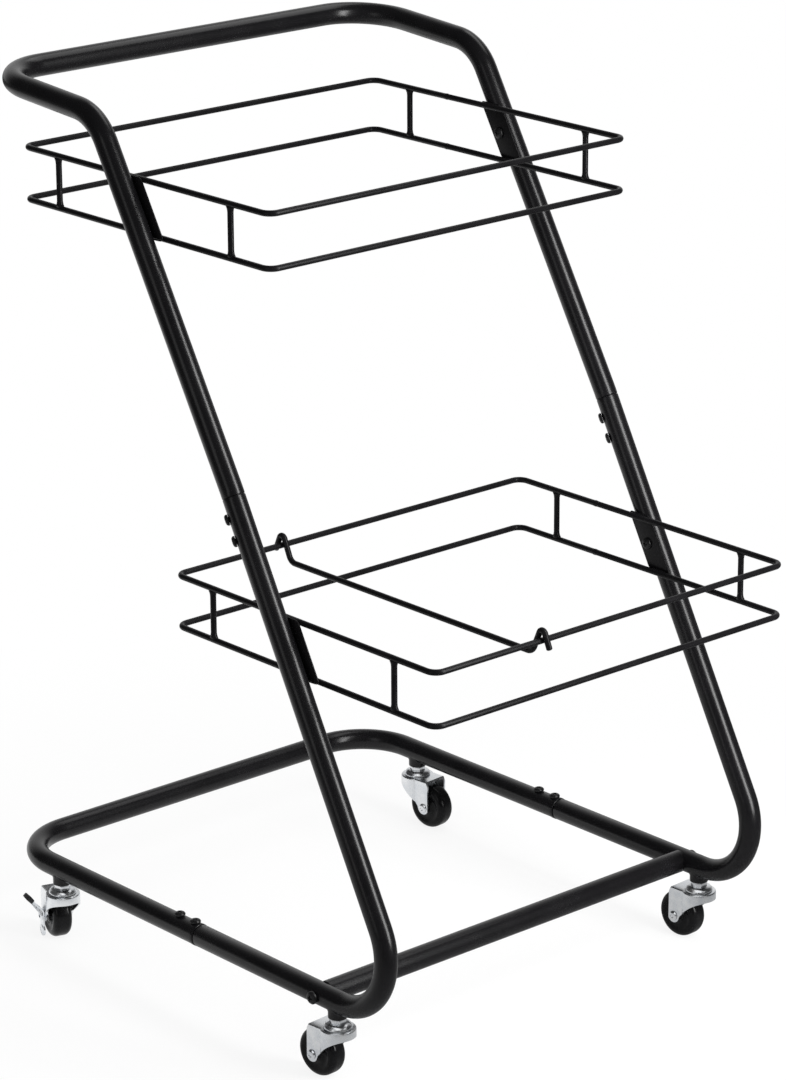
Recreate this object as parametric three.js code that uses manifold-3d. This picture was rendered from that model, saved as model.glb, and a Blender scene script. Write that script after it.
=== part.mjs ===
// Two-tier rolling file cart: a bent steel tube frame with two leaning legs, a push handle,
// two open wire baskets, a sliding divider rod and four swivel casters, one with a side brake.
// Millimetres, +Z up, front towards -Y, origin on the floor under the middle of the cart.

import * as THREE from "three";
import * as BufferGeometryUtils from "three/addons/utils/BufferGeometryUtils.js";
import Module from "manifold-3d";

const wasm = await Module();
wasm.setup();

// Clearance between pieces that touch on the real cart
const FIT_GAP = 0.3;
// How far a drill runs past the wall that it goes through
const DRILL_OVERRUN = 1;

// Frame tube
const TUBE_R = 9.5;
const TUBE_WALL = 1.2;
const FOOT_Y = -262.6;
const LOWER_LEAN = THREE.MathUtils.degToRad(28.65);
const UPPER_LEAN = THREE.MathUtils.degToRad(30.5);
const FOOT_BEND_R = 54;
const LEG_SEAM_Z = 465;
const SEAM_SET = 6;
const ARM_RISE = THREE.MathUtils.degToRad(4.2);
const ARM_BEND_R = 45;
const HANDLE_Y = 262.8;
const HANDLE_Z = 756.5;
const HANDLE_BEND_R = 51;
const BASE_SEAM_Y = 7.8;
const REAR_BAR_Y = 269.4;
const REAR_BEND_R = 54;
const CROSS_BAR_Y = -147.5;
const CROSS_END_WALL = 5;

// Tube joints: the swaged end of one tube plugs into the next and two screws hold it
const SPIGOT_LENGTH = 55;
const SPIGOT_SHOULDER = 4;
const LEG_SCREW_FROM_SEAM = [16, 34];
const LEG_SCREW_TURN = THREE.MathUtils.degToRad(50);
const BASE_SCREW_FROM_SEAM = [6.5, 27];
const SCREW_R = 2.4;
const SCREW_HEAD_R = 4.6;
const SCREW_HEAD_H = 3;
const SCREW_REACH = 6;
const CROSS_BOLT_HEAD_R = 5.5;
const CROSS_BOLT_HEAD_H = 3.6;
const HEAD_SIDE = 0.45;
const HEAD_CROWN = 0.6;
const RIVET_CROWN = 0.75;

// Wire baskets, measured between wire centres
const WIRE_R = 2.5;
const BASKET_WIDTH = 384;
const BASKET_DEPTH = 315;
const BASKET_HEIGHT = 44;
const BASKET_CORNER_R = 9;
const LOWER_BASKET_TOP_Z = 372.8;
const UPPER_BASKET_TOP_Z = 697.7;
const LOWER_BASKET_AHEAD = 2;
const UPPER_BASKET_AHEAD = -1.5;
const POST_FROM_MIDDLE = 110.5;
const POST_FLARE_R = 3.6;
const POST_FLARE_H = 4;
const POST_FLARE_EDGE = 1;
const WELD_FROM_MIDDLE = 62;
const WELD_GAP = 1;
const WELD_LENGTH = 4;
const WELD_PROUD = 0.25;

// Bracket plates between the wires and the legs
const BRACKET_T = 1.5;
const BRACKET_FRONT = 15.5;
const BRACKET_REAR = 9.5;
const BRACKET_BOLT_R = 2.6;
const BRACKET_BOLT_HEAD_R = 5;
const BRACKET_BOLT_HEAD_H = 2.6;
const BRACKET_BOLT_REACH = 9;

// Divider rod hooked over the front and rear top wires of the lower basket
const DIVIDER_X = -79.4;
const DIVIDER_DROP = 12.3;
const HOOK_CROWN_R = 3.3;
const HOOK_SPREAD = THREE.MathUtils.degToRad(24);
const HOOK_TIP_DROP = 6;
const HOOK_FOOT_R = 8;

// Casters
const FRONT_CASTER_Y = -166.6;
const REAR_CASTER_Y = 198.4;
const CASTER_TRAIL = 18;
const WHEEL_R = 20.5;
const WHEEL_WIDTH = 17;
const WHEEL_SHOULDER_R = 5.5;
const WHEEL_DISH = 1.2;
const WHEEL_RIM = 2;
const HUB_R = 6.5;
const AXLE_R = 2.5;
const AXLE_HEAD_R = 4.2;
const AXLE_HEAD_H = 1.6;
const RUNNING_GAP = 0.4;
const FORK_T = 1.6;
const FORK_SIDE_GAP = 2.1;
const WHEEL_HEADROOM = 4.1;
const FORK_TAIL = 5.5;
const FORK_EYE_R = 6.2;
const FORK_ARCH_X = 3;
const FORK_ARCH_ABOVE_AXLE = 10.5;
const RACE_R = 15;
const RACE_EDGE = 1;
const SKIRT_H = 6;
const DOME_R = 12;
const DOME_H = 4.2;
const DOME_LIP = 0.8;
const DOME_SHOULDER = 0.85;
const HEX_R = 7.2;
const HEX_H = 3.6;
const KING_PIN_R = 3;
const KING_PIN_HEAD_R = 5.5;
const KING_PIN_HEAD_H = 1.7;
const STEM_R = 4;
const STEM_ABOVE_TUBE_FLOOR = 7;
const SOCKET_R = 8;
const SOCKET_SHOWS = 4.3;

// Side brake on one caster: a strip beside the fork, leaning out to a capped foot tab
const LEVER_T = 1.5;
const LEVER_HALF_WIDTH = 3.8;
const LEVER_LOBE_R = 5.6;
const LEVER_BELOW_AXLE = 13.5;
const LEVER_FOLD_ABOVE_AXLE = 4.8;
const LEVER_TOP_ABOVE_AXLE = 19.5;
const LEVER_OUT = 13.5;
const CAP_HEIGHT = 4.2;
const CAP_WALL = 1.3;

// Rest heading of each caster's trail, anticlockwise from +X
const CASTERS = [
  { name: "front_left", side: -1, y: FRONT_CASTER_Y, heading: 94 },
  { name: "front_right", side: 1, y: FRONT_CASTER_Y, heading: 93 },
  { name: "rear_left", side: -1, y: REAR_CASTER_Y, heading: 72, brake: true },
  { name: "rear_right", side: 1, y: REAR_CASTER_Y, heading: -85 },
];

// Facets
const TUBE_SIDES = 12;
const TUBE_BEND_STEP = THREE.MathUtils.degToRad(20);
const WIRE_SIDES = 8;
const WIRE_BEND_STEP = THREE.MathUtils.degToRad(22.5);
const WHEEL_SIDES = 16;
const TURNED_SIDES = 12;
const RACE_SIDES = 16;
const SCREW_SIDES = 8;
const CURVE_STEPS = 4;
const HEX_SIDES = 6;
const MERGE_DISTANCE = 1e-4;

// What follows from the sizes above
const BORE_R = TUBE_R - TUBE_WALL;
const SPIGOT_R = BORE_R - FIT_GAP;
const RAIL_X = BASKET_WIDTH / 2;
const BRACKET_IN_X = RAIL_X + WIRE_R + FIT_GAP;
const FRAME_X = BRACKET_IN_X + BRACKET_T + FIT_GAP + TUBE_R;
const FORK_IN = WHEEL_WIDTH / 2 + FORK_SIDE_GAP;
const FORK_OUT = FORK_IN + FORK_T;
// Heights stack up from the floor: wheel, fork, domed race, hexagon, sleeve, base tube
const FORK_TOP_Z = 2 * WHEEL_R + WHEEL_HEADROOM + FORK_T;
const SOCKET_BOTTOM_Z = FORK_TOP_Z + RUNNING_GAP + DOME_H + HEX_H + FIT_GAP;
const TUBE_FLOOR_Z = SOCKET_BOTTOM_Z + SOCKET_SHOWS;
const BASE_Z = TUBE_FLOOR_Z + TUBE_R;

const X_AXIS = new THREE.Vector3(1, 0, 0);
const Y_AXIS = new THREE.Vector3(0, 1, 0);
const Z_AXIS = new THREE.Vector3(0, 0, 1);
const v3 = (x, y, z) => new THREE.Vector3(x, y, z);
const lowerUp = v3(0, Math.sin(LOWER_LEAN), Math.cos(LOWER_LEAN));
const seamY = FOOT_Y + (LEG_SEAM_Z - BASE_Z) * Math.tan(LOWER_LEAN);

// The point on a leg's axis at a height, in the leg's own upright plane
function legAt(z) {
  const lean = z < LEG_SEAM_Z ? LOWER_LEAN : UPPER_LEAN;
  return seamY + (z - LEG_SEAM_Z) * Math.tan(lean);
}

const BASKETS = [
  { name: "upper", topZ: UPPER_BASKET_TOP_Z, ahead: UPPER_BASKET_AHEAD },
  { name: "lower", topZ: LOWER_BASKET_TOP_Z, ahead: LOWER_BASKET_AHEAD },
].map((basket) => {
  const boltZ = basket.topZ - BASKET_HEIGHT / 2;
  const boltY = legAt(boltZ);
  return { ...basket, bottomZ: basket.topZ - BASKET_HEIGHT, boltY, boltZ, middleY: boltY - basket.ahead };
});
const [upperBasket, lowerBasket] = BASKETS;

// Finishes
const finish = {
  tube: () => new THREE.MeshStandardMaterial({ color: 0x17161a, roughness: 0.42, metalness: 0.25 }),
  wire: () => new THREE.MeshStandardMaterial({ color: 0x151417, roughness: 0.45, metalness: 0.25 }),
  screw: () => new THREE.MeshStandardMaterial({ color: 0x121214, roughness: 0.4, metalness: 0.5 }),
  zinc: () => new THREE.MeshStandardMaterial({ color: 0xc9cdd1, roughness: 0.25, metalness: 1 }),
  tread: () => new THREE.MeshStandardMaterial({ color: 0x131314, roughness: 0.35, metalness: 0 }),
  cap: () => new THREE.MeshStandardMaterial({ color: 0x1b1b1d, roughness: 0.6, metalness: 0 }),
};

// A closed three.js geometry as a solid that can be joined and cut
function solid(geometry) {
  const bare = geometry.clone();
  bare.deleteAttribute("normal");
  bare.deleteAttribute("uv");
  const merged = BufferGeometryUtils.mergeVertices(bare, MERGE_DISTANCE);
  const corners = merged.index.array;
  const faces = [];
  for (let i = 0; i < corners.length; i += 3) {
    const [a, b, c] = corners.slice(i, i + 3);
    if (a !== b && b !== c && c !== a) faces.push(a, b, c);
  }
  return new wasm.Manifold(new wasm.Mesh({
    numProp: 3,
    vertProperties: Float32Array.from(merged.attributes.position.array),
    triVerts: Uint32Array.from(faces),
  }));
}

function geometryOf(body) {
  const mesh = body.getMesh();
  const geometry = new THREE.BufferGeometry();
  geometry.setAttribute("position", new THREE.BufferAttribute(mesh.vertProperties, 3));
  geometry.setIndex(new THREE.BufferAttribute(mesh.triVerts, 1));
  geometry.computeVertexNormals();
  return geometry;
}

const cart = new THREE.Group();

function addPiece(name, shape, material, parent = cart) {
  const geometry = shape.isBufferGeometry ? shape : geometryOf(shape);
  const mesh = new THREE.Mesh(geometry, material());
  mesh.name = name;
  parent.add(mesh);
  return mesh;
}

// A centreline of straight runs joined by round bends; its rings sit only at ends and in bends
class BentPath extends THREE.Curve {
  constructor(corners, radii, bendStep, firstNormal = X_AXIS) {
    super();
    this.bendStep = bendStep;
    this.firstNormal = firstNormal;
    this.stations = [{ point: corners[0], tangent: corners[1].clone().sub(corners[0]).normalize() }];
    for (let i = 1; i < corners.length - 1; i++) {
      this.addBend(corners[i - 1], corners[i], corners[i + 1], radii[i - 1]);
    }
    const last = corners.length - 1;
    const tangent = corners[last].clone().sub(corners[last - 1]).normalize();
    this.stations.push({ point: corners[last], tangent });
  }

  addBend(before, corner, after, radius) {
    const incoming = corner.clone().sub(before).normalize();
    const outgoing = after.clone().sub(corner).normalize();
    const turn = incoming.angleTo(outgoing);
    const axis = incoming.clone().cross(outgoing).normalize();
    const setback = radius * Math.tan(turn / 2);
    const start = corner.clone().addScaledVector(incoming, -setback);
    const toCentre = axis.clone().cross(incoming).multiplyScalar(radius);
    const centre = start.clone().add(toCentre);
    const steps = Math.max(1, Math.round(turn / this.bendStep));
    for (let i = 0; i <= steps; i++) {
      const angle = (turn * i) / steps;
      const point = toCentre.clone().negate().applyAxisAngle(axis, angle).add(centre);
      const tangent = incoming.clone().applyAxisAngle(axis, angle);
      this.stations.push({ point, tangent });
    }
  }

  getSpacedPoints() {
    return this.stations.map((station) => station.point.clone());
  }

  computeFrenetFrames() {
    const tangents = this.stations.map((station) => station.tangent);
    const normals = [this.firstNormal.clone()];
    for (let i = 1; i < tangents.length; i++) {
      const swing = new THREE.Quaternion().setFromUnitVectors(tangents[i - 1], tangents[i]);
      normals.push(normals[i - 1].clone().applyQuaternion(swing));
    }
    const binormals = tangents.map((tangent, i) => tangent.clone().cross(normals[i]));
    return { tangents, normals, binormals };
  }
}

// A round bar, or a tube if it has a wall, along a bent path
function bar(path, radius, sides, wall = 0) {
  const section = new THREE.Shape().absarc(0, 0, radius, 0, 2 * Math.PI, false);
  if (wall > 0) section.holes.push(new THREE.Path().absarc(0, 0, radius - wall, 0, 2 * Math.PI, true));
  return new THREE.ExtrudeGeometry(section, {
    steps: path.stations.length - 1,
    curveSegments: sides / 2,
    extrudePath: path,
  });
}

// A turned piece: the outline holds [radius, height] pairs, its axis runs from base along direction
function turned(outline, base, direction, sides) {
  const profile = outline.map(([radius, height]) => new THREE.Vector2(radius, height));
  const geometry = new THREE.LatheGeometry(profile, sides);
  geometry.applyQuaternion(new THREE.Quaternion().setFromUnitVectors(Y_AXIS, direction));
  return geometry.translate(base.x, base.y, base.z);
}

function pin(base, direction, radius, length, sides = SCREW_SIDES) {
  return turned([[0, 0], [radius, 0], [radius, length], [0, length]], base, direction, sides);
}

// A drill for a hole: its flats, not its corners, keep the fit gap to the piece that passes through
function drillBit(base, direction, radius, length, sides = SCREW_SIDES) {
  return solid(pin(base, direction, (radius + FIT_GAP) / Math.cos(Math.PI / sides), length, sides));
}

function block(low, high) {
  const size = high.clone().sub(low);
  const middle = low.clone().add(high).multiplyScalar(0.5);
  return new THREE.BoxGeometry(size.x, size.y, size.z).translate(middle.x, middle.y, middle.z);
}

// A flat plate cut to an outline, its thickness along +Z
function plateFrom(outline, thickness) {
  return new THREE.ExtrudeGeometry(outline, {
    depth: thickness,
    bevelEnabled: false,
    curveSegments: CURVE_STEPS,
  });
}

// A pan head screw whose shank enters the work against the outward direction at the seat
function panScrew(seat, outward, shankR, reach, headR, headH) {
  const outline = [
    [0, -reach],
    [shankR, -reach],
    [shankR, 0],
    [headR, 0],
    [headR, headH * HEAD_SIDE],
    [headR * HEAD_CROWN, headH],
    [0, headH],
  ];
  return turned(outline, seat, outward, SCREW_SIDES);
}

// Screws of the tube joints: where each sits and which way its head faces
function legScrews(side) {
  const rear = v3(0, Math.cos(LOWER_LEAN), -Math.sin(LOWER_LEAN));
  const outward = rear.applyAxisAngle(lowerUp, LEG_SCREW_TURN);
  const seam = v3(side * FRAME_X, seamY, LEG_SEAM_Z);
  return LEG_SCREW_FROM_SEAM.map((drop) => ({
    axis: seam.clone().addScaledVector(lowerUp, -drop),
    outward,
  }));
}

function baseScrews(side) {
  return BASE_SCREW_FROM_SEAM.map((step) => ({
    axis: v3(side * FRAME_X, BASE_SEAM_Y + step, BASE_Z),
    outward: Z_AXIS,
  }));
}

function drill(body, screws) {
  const holes = screws.map(({ axis, outward }) => drillBit(axis, outward, SCREW_R, 2 * TUBE_R));
  return holes.reduce((left, hole) => left.subtract(hole), body);
}

// Bracket bolts enter a leg from inside, halfway between the basket's two wires
function bracketBoltSeat(basket, side) {
  return v3(side * (BRACKET_IN_X - FIT_GAP), basket.boltY, basket.boltZ);
}

function bracketBoltHole(basket, side) {
  const depth = BRACKET_BOLT_REACH + DRILL_OVERRUN;
  return drillBit(bracketBoltSeat(basket, side), v3(side, 0, 0), BRACKET_BOLT_R, depth);
}

// The narrowed end of a tube, from its shoulder in the seam to its tip in the next tube
function swagedEnd(seam, direction) {
  const bore = SPIGOT_R - TUBE_WALL;
  const overlap = TUBE_WALL / 2;
  const outline = [
    [bore, -SPIGOT_SHOULDER],
    [BORE_R + overlap, -SPIGOT_SHOULDER],
    [BORE_R + overlap, -FIT_GAP],
    [SPIGOT_R, 0],
    [SPIGOT_R, SPIGOT_LENGTH],
    [bore, SPIGOT_LENGTH],
    [bore, -SPIGOT_SHOULDER],
  ];
  return solid(turned(outline, seam, direction, TUBE_SIDES));
}

// The push handle: both upper legs, the arms and the grip bar are one bent tube
function makeHandle() {
  const armTopZ = HANDLE_Z - (HANDLE_Y - seamY) * Math.tan(ARM_RISE);
  const legRun = Math.tan(UPPER_LEAN);
  const elbowZ = LEG_SEAM_Z + (armTopZ - LEG_SEAM_Z) / (1 - legRun * Math.tan(ARM_RISE));
  const sideCorners = (side) => {
    const seam = v3(side * FRAME_X, seamY, LEG_SEAM_Z);
    const start = seam.clone().addScaledVector(lowerUp, FIT_GAP);
    const set = seam.clone().addScaledVector(lowerUp, SEAM_SET);
    const rise = elbowZ - set.z;
    const elbow = v3(side * FRAME_X, set.y + rise * legRun, elbowZ);
    const gripCorner = v3(side * FRAME_X, HANDLE_Y, HANDLE_Z);
    return { seam, corners: [start, set, elbow, gripCorner] };
  };
  const left = sideCorners(-1);
  const right = sideCorners(1);
  const corners = [...left.corners, ...right.corners.slice().reverse()];
  const sideRadii = [ARM_BEND_R, ARM_BEND_R, HANDLE_BEND_R];
  const path = new BentPath(corners, [...sideRadii, ...sideRadii.slice().reverse()], TUBE_BEND_STEP);
  let body = solid(bar(path, TUBE_R, TUBE_SIDES, TUBE_WALL));
  for (const [side, { seam }] of [[-1, left], [1, right]]) {
    body = body.add(swagedEnd(seam, lowerUp.clone().negate()));
    body = drill(body, legScrews(side));
    body = body.subtract(bracketBoltHole(upperBasket, side));
  }
  addPiece("handle_tube", body, finish.tube);
}

function stemHole(x, y) {
  return drillBit(v3(x, y, TUBE_FLOOR_Z - DRILL_OVERRUN), Z_AXIS, STEM_R, TUBE_R, TURNED_SIDES);
}

// A leg: from the seam down the lean, round the foot bend and back along the floor
function makeLeg(sideName, side) {
  const x = side * FRAME_X;
  const top = v3(x, seamY, LEG_SEAM_Z);
  const foot = v3(x, FOOT_Y, BASE_Z);
  const back = v3(x, BASE_SEAM_Y - FIT_GAP, BASE_Z);
  const path = new BentPath([top, foot, back], [FOOT_BEND_R], TUBE_BEND_STEP);
  let body = solid(bar(path, TUBE_R, TUBE_SIDES, TUBE_WALL));
  body = body.add(swagedEnd(v3(x, BASE_SEAM_Y, BASE_Z), Y_AXIS));
  body = drill(body, [...legScrews(side), ...baseScrews(side)]);
  const boltLine = v3(x - TUBE_R - DRILL_OVERRUN, CROSS_BAR_Y, BASE_Z);
  const boltHole = drillBit(boltLine, X_AXIS, SCREW_R, 2 * (TUBE_R + DRILL_OVERRUN));
  body = body.subtract(stemHole(x, FRONT_CASTER_Y)).subtract(boltHole);
  addPiece(`${sideName}_leg_tube`, body.subtract(bracketBoltHole(lowerBasket, side)), finish.tube);
}

function makeRearBase() {
  const corners = [
    v3(-FRAME_X, BASE_SEAM_Y, BASE_Z),
    v3(-FRAME_X, REAR_BAR_Y, BASE_Z),
    v3(FRAME_X, REAR_BAR_Y, BASE_Z),
    v3(FRAME_X, BASE_SEAM_Y, BASE_Z),
  ];
  const path = new BentPath(corners, [REAR_BEND_R, REAR_BEND_R], TUBE_BEND_STEP);
  let body = solid(bar(path, TUBE_R, TUBE_SIDES, TUBE_WALL));
  for (const side of [-1, 1]) {
    body = drill(body, baseScrews(side));
    body = body.subtract(stemHole(side * FRAME_X, REAR_CASTER_Y));
  }
  addPiece("rear_base_tube", body, finish.tube);
}

// The cross bar butts against both base tubes; its plugged ends take the side bolts
function makeCrossBar() {
  const half = FRAME_X - TUBE_R / 2;
  const run = [v3(-half, CROSS_BAR_Y, BASE_Z), v3(half, CROSS_BAR_Y, BASE_Z)];
  let body = solid(bar(new BentPath(run, [], TUBE_BEND_STEP, Z_AXIS), TUBE_R, TUBE_SIDES, TUBE_WALL));
  const plugR = BORE_R + TUBE_WALL / 2;
  const plugEnd = FRAME_X - TUBE_R - CROSS_END_WALL;
  for (const side of [-1, 1]) {
    const outward = v3(side, 0, 0);
    const at = (x, y) => v3(side * x, y, BASE_Z);
    const plug = pin(at(plugEnd, CROSS_BAR_Y), outward, plugR, CROSS_END_WALL, TUBE_SIDES);
    const seatStart = at(FRAME_X, CROSS_BAR_Y - 2 * TUBE_R);
    const seat = drillBit(seatStart, Y_AXIS, TUBE_R, 4 * TUBE_R, TUBE_SIDES);
    const inward = outward.clone().negate();
    const hole = drillBit(at(FRAME_X, CROSS_BAR_Y), inward, SCREW_R, 3 * TUBE_R);
    body = body.add(solid(plug)).subtract(seat).subtract(hole);
  }
  addPiece("cross_bar", body, finish.tube);
}

// One wire of a basket, bent to a rounded rectangle and butt welded in its right side
function makeRail(name, middleY, z) {
  const halfDepth = BASKET_DEPTH / 2;
  const weldY = middleY + WELD_FROM_MIDDLE;
  const corners = [
    v3(RAIL_X, weldY + WELD_GAP / 2, z),
    v3(RAIL_X, middleY + halfDepth, z),
    v3(-RAIL_X, middleY + halfDepth, z),
    v3(-RAIL_X, middleY - halfDepth, z),
    v3(RAIL_X, middleY - halfDepth, z),
    v3(RAIL_X, weldY - WELD_GAP / 2, z),
  ];
  const path = new BentPath(corners, new Array(4).fill(BASKET_CORNER_R), WIRE_BEND_STEP, Z_AXIS);
  const wire = bar(path, WIRE_R, WIRE_SIDES);
  const beadStart = v3(RAIL_X, weldY - WELD_LENGTH / 2, z);
  const bead = pin(beadStart, Y_AXIS, WIRE_R + WELD_PROUD, WELD_LENGTH, WIRE_SIDES);
  addPiece(name, solid(wire).add(solid(bead)), finish.wire);
}

// A short upright between the two wires, flared where it is welded and saddled over each wire
function makePost(name, side, y, topZ, bottomZ) {
  const reach = WIRE_R / 2;
  const height = topZ - bottomZ - 2 * reach;
  const outline = [
    [0, 0],
    [POST_FLARE_R, 0],
    [POST_FLARE_R, reach + POST_FLARE_EDGE],
    [WIRE_R, reach + POST_FLARE_H],
    [WIRE_R, height - reach - POST_FLARE_H],
    [POST_FLARE_R, height - reach - POST_FLARE_EDGE],
    [POST_FLARE_R, height],
    [0, height],
  ];
  let body = solid(turned(outline, v3(side * RAIL_X, y, bottomZ + reach), Z_AXIS, WIRE_SIDES));
  for (const z of [topZ, bottomZ]) {
    const start = v3(side * RAIL_X, y - 4 * WIRE_R, z);
    body = body.subtract(drillBit(start, Y_AXIS, WIRE_R, 8 * WIRE_R, WIRE_SIDES));
  }
  addPiece(name, body, finish.wire);
}

// A flat plate welded to the outside of both wires, leaning with the leg that it is bolted to
function makeBracket(name, basket, side) {
  const low = basket.bottomZ - WIRE_R;
  const high = basket.topZ + WIRE_R;
  const outline = new THREE.Shape();
  outline.moveTo(legAt(low) - BRACKET_FRONT, low);
  outline.lineTo(legAt(low) + BRACKET_REAR, low);
  outline.lineTo(legAt(high) + BRACKET_REAR, high);
  outline.lineTo(legAt(high) - BRACKET_FRONT, high);
  outline.closePath();
  const boltHole = new THREE.Path();
  const boltR = BRACKET_BOLT_R + FIT_GAP;
  boltHole.absarc(basket.boltY, basket.boltZ, boltR, 0, 2 * Math.PI, true);
  outline.holes.push(boltHole);
  const plate = plateFrom(outline, BRACKET_T);
  // The outline's axes become Y and Z, and its depth becomes X
  plate.applyMatrix4(new THREE.Matrix4().makeBasis(Y_AXIS, Z_AXIS, X_AXIS));
  plate.translate(side > 0 ? BRACKET_IN_X : -BRACKET_IN_X - BRACKET_T, 0, 0);
  addPiece(name, plate, finish.wire);
}

function makeBasket(basket) {
  const { name, topZ, bottomZ, middleY } = basket;
  makeRail(`${name}_basket_top_wire`, middleY, topZ);
  makeRail(`${name}_basket_bottom_wire`, middleY, bottomZ);
  for (const [sideName, side] of [["left", -1], ["right", 1]]) {
    makePost(`${name}_basket_post_${sideName}_front`, side, middleY - POST_FROM_MIDDLE, topZ, bottomZ);
    makePost(`${name}_basket_post_${sideName}_rear`, side, middleY + POST_FROM_MIDDLE, topZ, bottomZ);
    makeBracket(`${name}_bracket_${sideName}`, basket, side);
    const seat = bracketBoltSeat(basket, side);
    const bolt = panScrew(
      seat,
      v3(-side, 0, 0),
      BRACKET_BOLT_R,
      BRACKET_BOLT_REACH,
      BRACKET_BOLT_HEAD_R,
      BRACKET_BOLT_HEAD_H,
    );
    addPiece(`${name}_bracket_bolt_${sideName}`, bolt, finish.screw);
  }
}

// The divider rod: a hook over each top wire, wedged on it by its spread legs
function makeDivider() {
  const { middleY, topZ } = lowerBasket;
  const reach = 2 * WIRE_R + FIT_GAP;
  const crownZ = topZ + (reach - HOOK_CROWN_R) / Math.sin(HOOK_SPREAD);
  const peak = crownZ + HOOK_CROWN_R / Math.sin(HOOK_SPREAD);
  const bodyZ = topZ - DIVIDER_DROP;
  const at = (end, outwards, z) => v3(DIVIDER_X, middleY + end * (BASKET_DEPTH / 2 + outwards), z);
  const slope = Math.tan(HOOK_SPREAD);
  const tipZ = topZ - HOOK_TIP_DROP;
  const hook = (end) => [
    at(end, (peak - tipZ) * slope, tipZ),
    at(end, 0, peak),
    at(end, -(peak - bodyZ) * slope, bodyZ),
  ];
  const corners = [...hook(-1), ...hook(1).reverse()];
  const radii = [HOOK_CROWN_R, HOOK_FOOT_R, HOOK_FOOT_R, HOOK_CROWN_R];
  const path = new BentPath(corners, radii, WIRE_BEND_STEP);
  addPiece("divider_rod", bar(path, WIRE_R, WIRE_SIDES), finish.wire);
}

function makeScrews() {
  for (const [sideName, side] of [["left", -1], ["right", 1]]) {
    const joints = { leg: legScrews(side), base: baseScrews(side) };
    for (const [joint, screws] of Object.entries(joints)) {
      screws.forEach(({ axis, outward }, i) => {
        const seat = axis.clone().addScaledVector(outward, TUBE_R + FIT_GAP);
        const screw = panScrew(seat, outward, SCREW_R, SCREW_REACH, SCREW_HEAD_R, SCREW_HEAD_H);
        addPiece(`${joint}_screw_${sideName}_${i + 1}`, screw, finish.screw);
      });
    }
    const outward = v3(side, 0, 0);
    const seat = v3(side * (FRAME_X + TUBE_R + FIT_GAP), CROSS_BAR_Y, BASE_Z);
    const reach = 2 * TUBE_R + CROSS_END_WALL;
    addPiece(
      `cross_bar_bolt_${sideName}`,
      panScrew(seat, outward, SCREW_R, reach, CROSS_BOLT_HEAD_R, CROSS_BOLT_HEAD_H),
      finish.screw,
    );
  }
}

// The sleeve welded under the base tube that takes a caster's stem
function makeSocket(name, x, y) {
  const outline = [
    [STEM_R + FIT_GAP, 0],
    [SOCKET_R, 0],
    [SOCKET_R, BASE_Z - SOCKET_BOTTOM_Z],
    [STEM_R + FIT_GAP, BASE_Z - SOCKET_BOTTOM_Z],
    [STEM_R + FIT_GAP, 0],
  ];
  const sleeve = solid(turned(outline, v3(x, y, SOCKET_BOTTOM_Z), Z_AXIS, TURNED_SIDES));
  const saddle = drillBit(v3(x, y - 4 * SOCKET_R, BASE_Z), Y_AXIS, TUBE_R, 8 * SOCKET_R, TUBE_SIDES);
  addPiece(`caster_socket_${name}`, sleeve.subtract(saddle), finish.tube);
}

// Threaded stem, hexagon and domed upper race in one, with the king pin that carries the fork
function makeStem(name, group) {
  const domeZ = FORK_TOP_Z + RUNNING_GAP;
  const headZ = FORK_TOP_Z - FORK_T - RUNNING_GAP;
  const hexZ = domeZ + DOME_H;
  const stemTop = TUBE_FLOOR_Z + STEM_ABOVE_TUBE_FLOOR;
  const outline = [
    [0, headZ - KING_PIN_HEAD_H],
    [KING_PIN_HEAD_R * RIVET_CROWN, headZ - KING_PIN_HEAD_H],
    [KING_PIN_HEAD_R, headZ],
    [KING_PIN_R, headZ],
    [KING_PIN_R, domeZ],
    [DOME_R, domeZ],
    [DOME_R, domeZ + DOME_LIP],
    [DOME_R * DOME_SHOULDER, domeZ + DOME_H * DOME_SHOULDER],
    [HEX_R, hexZ],
    [STEM_R, hexZ],
    [STEM_R, stemTop],
    [0, stemTop],
  ];
  const stem = solid(turned(outline, v3(0, 0, 0), Z_AXIS, TURNED_SIDES));
  const hex = solid(pin(v3(0, 0, hexZ - DOME_LIP), Z_AXIS, HEX_R, HEX_H + DOME_LIP, HEX_SIDES));
  addPiece(`caster_stem_${name}`, stem.add(hex), finish.zinc, group);
}

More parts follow.
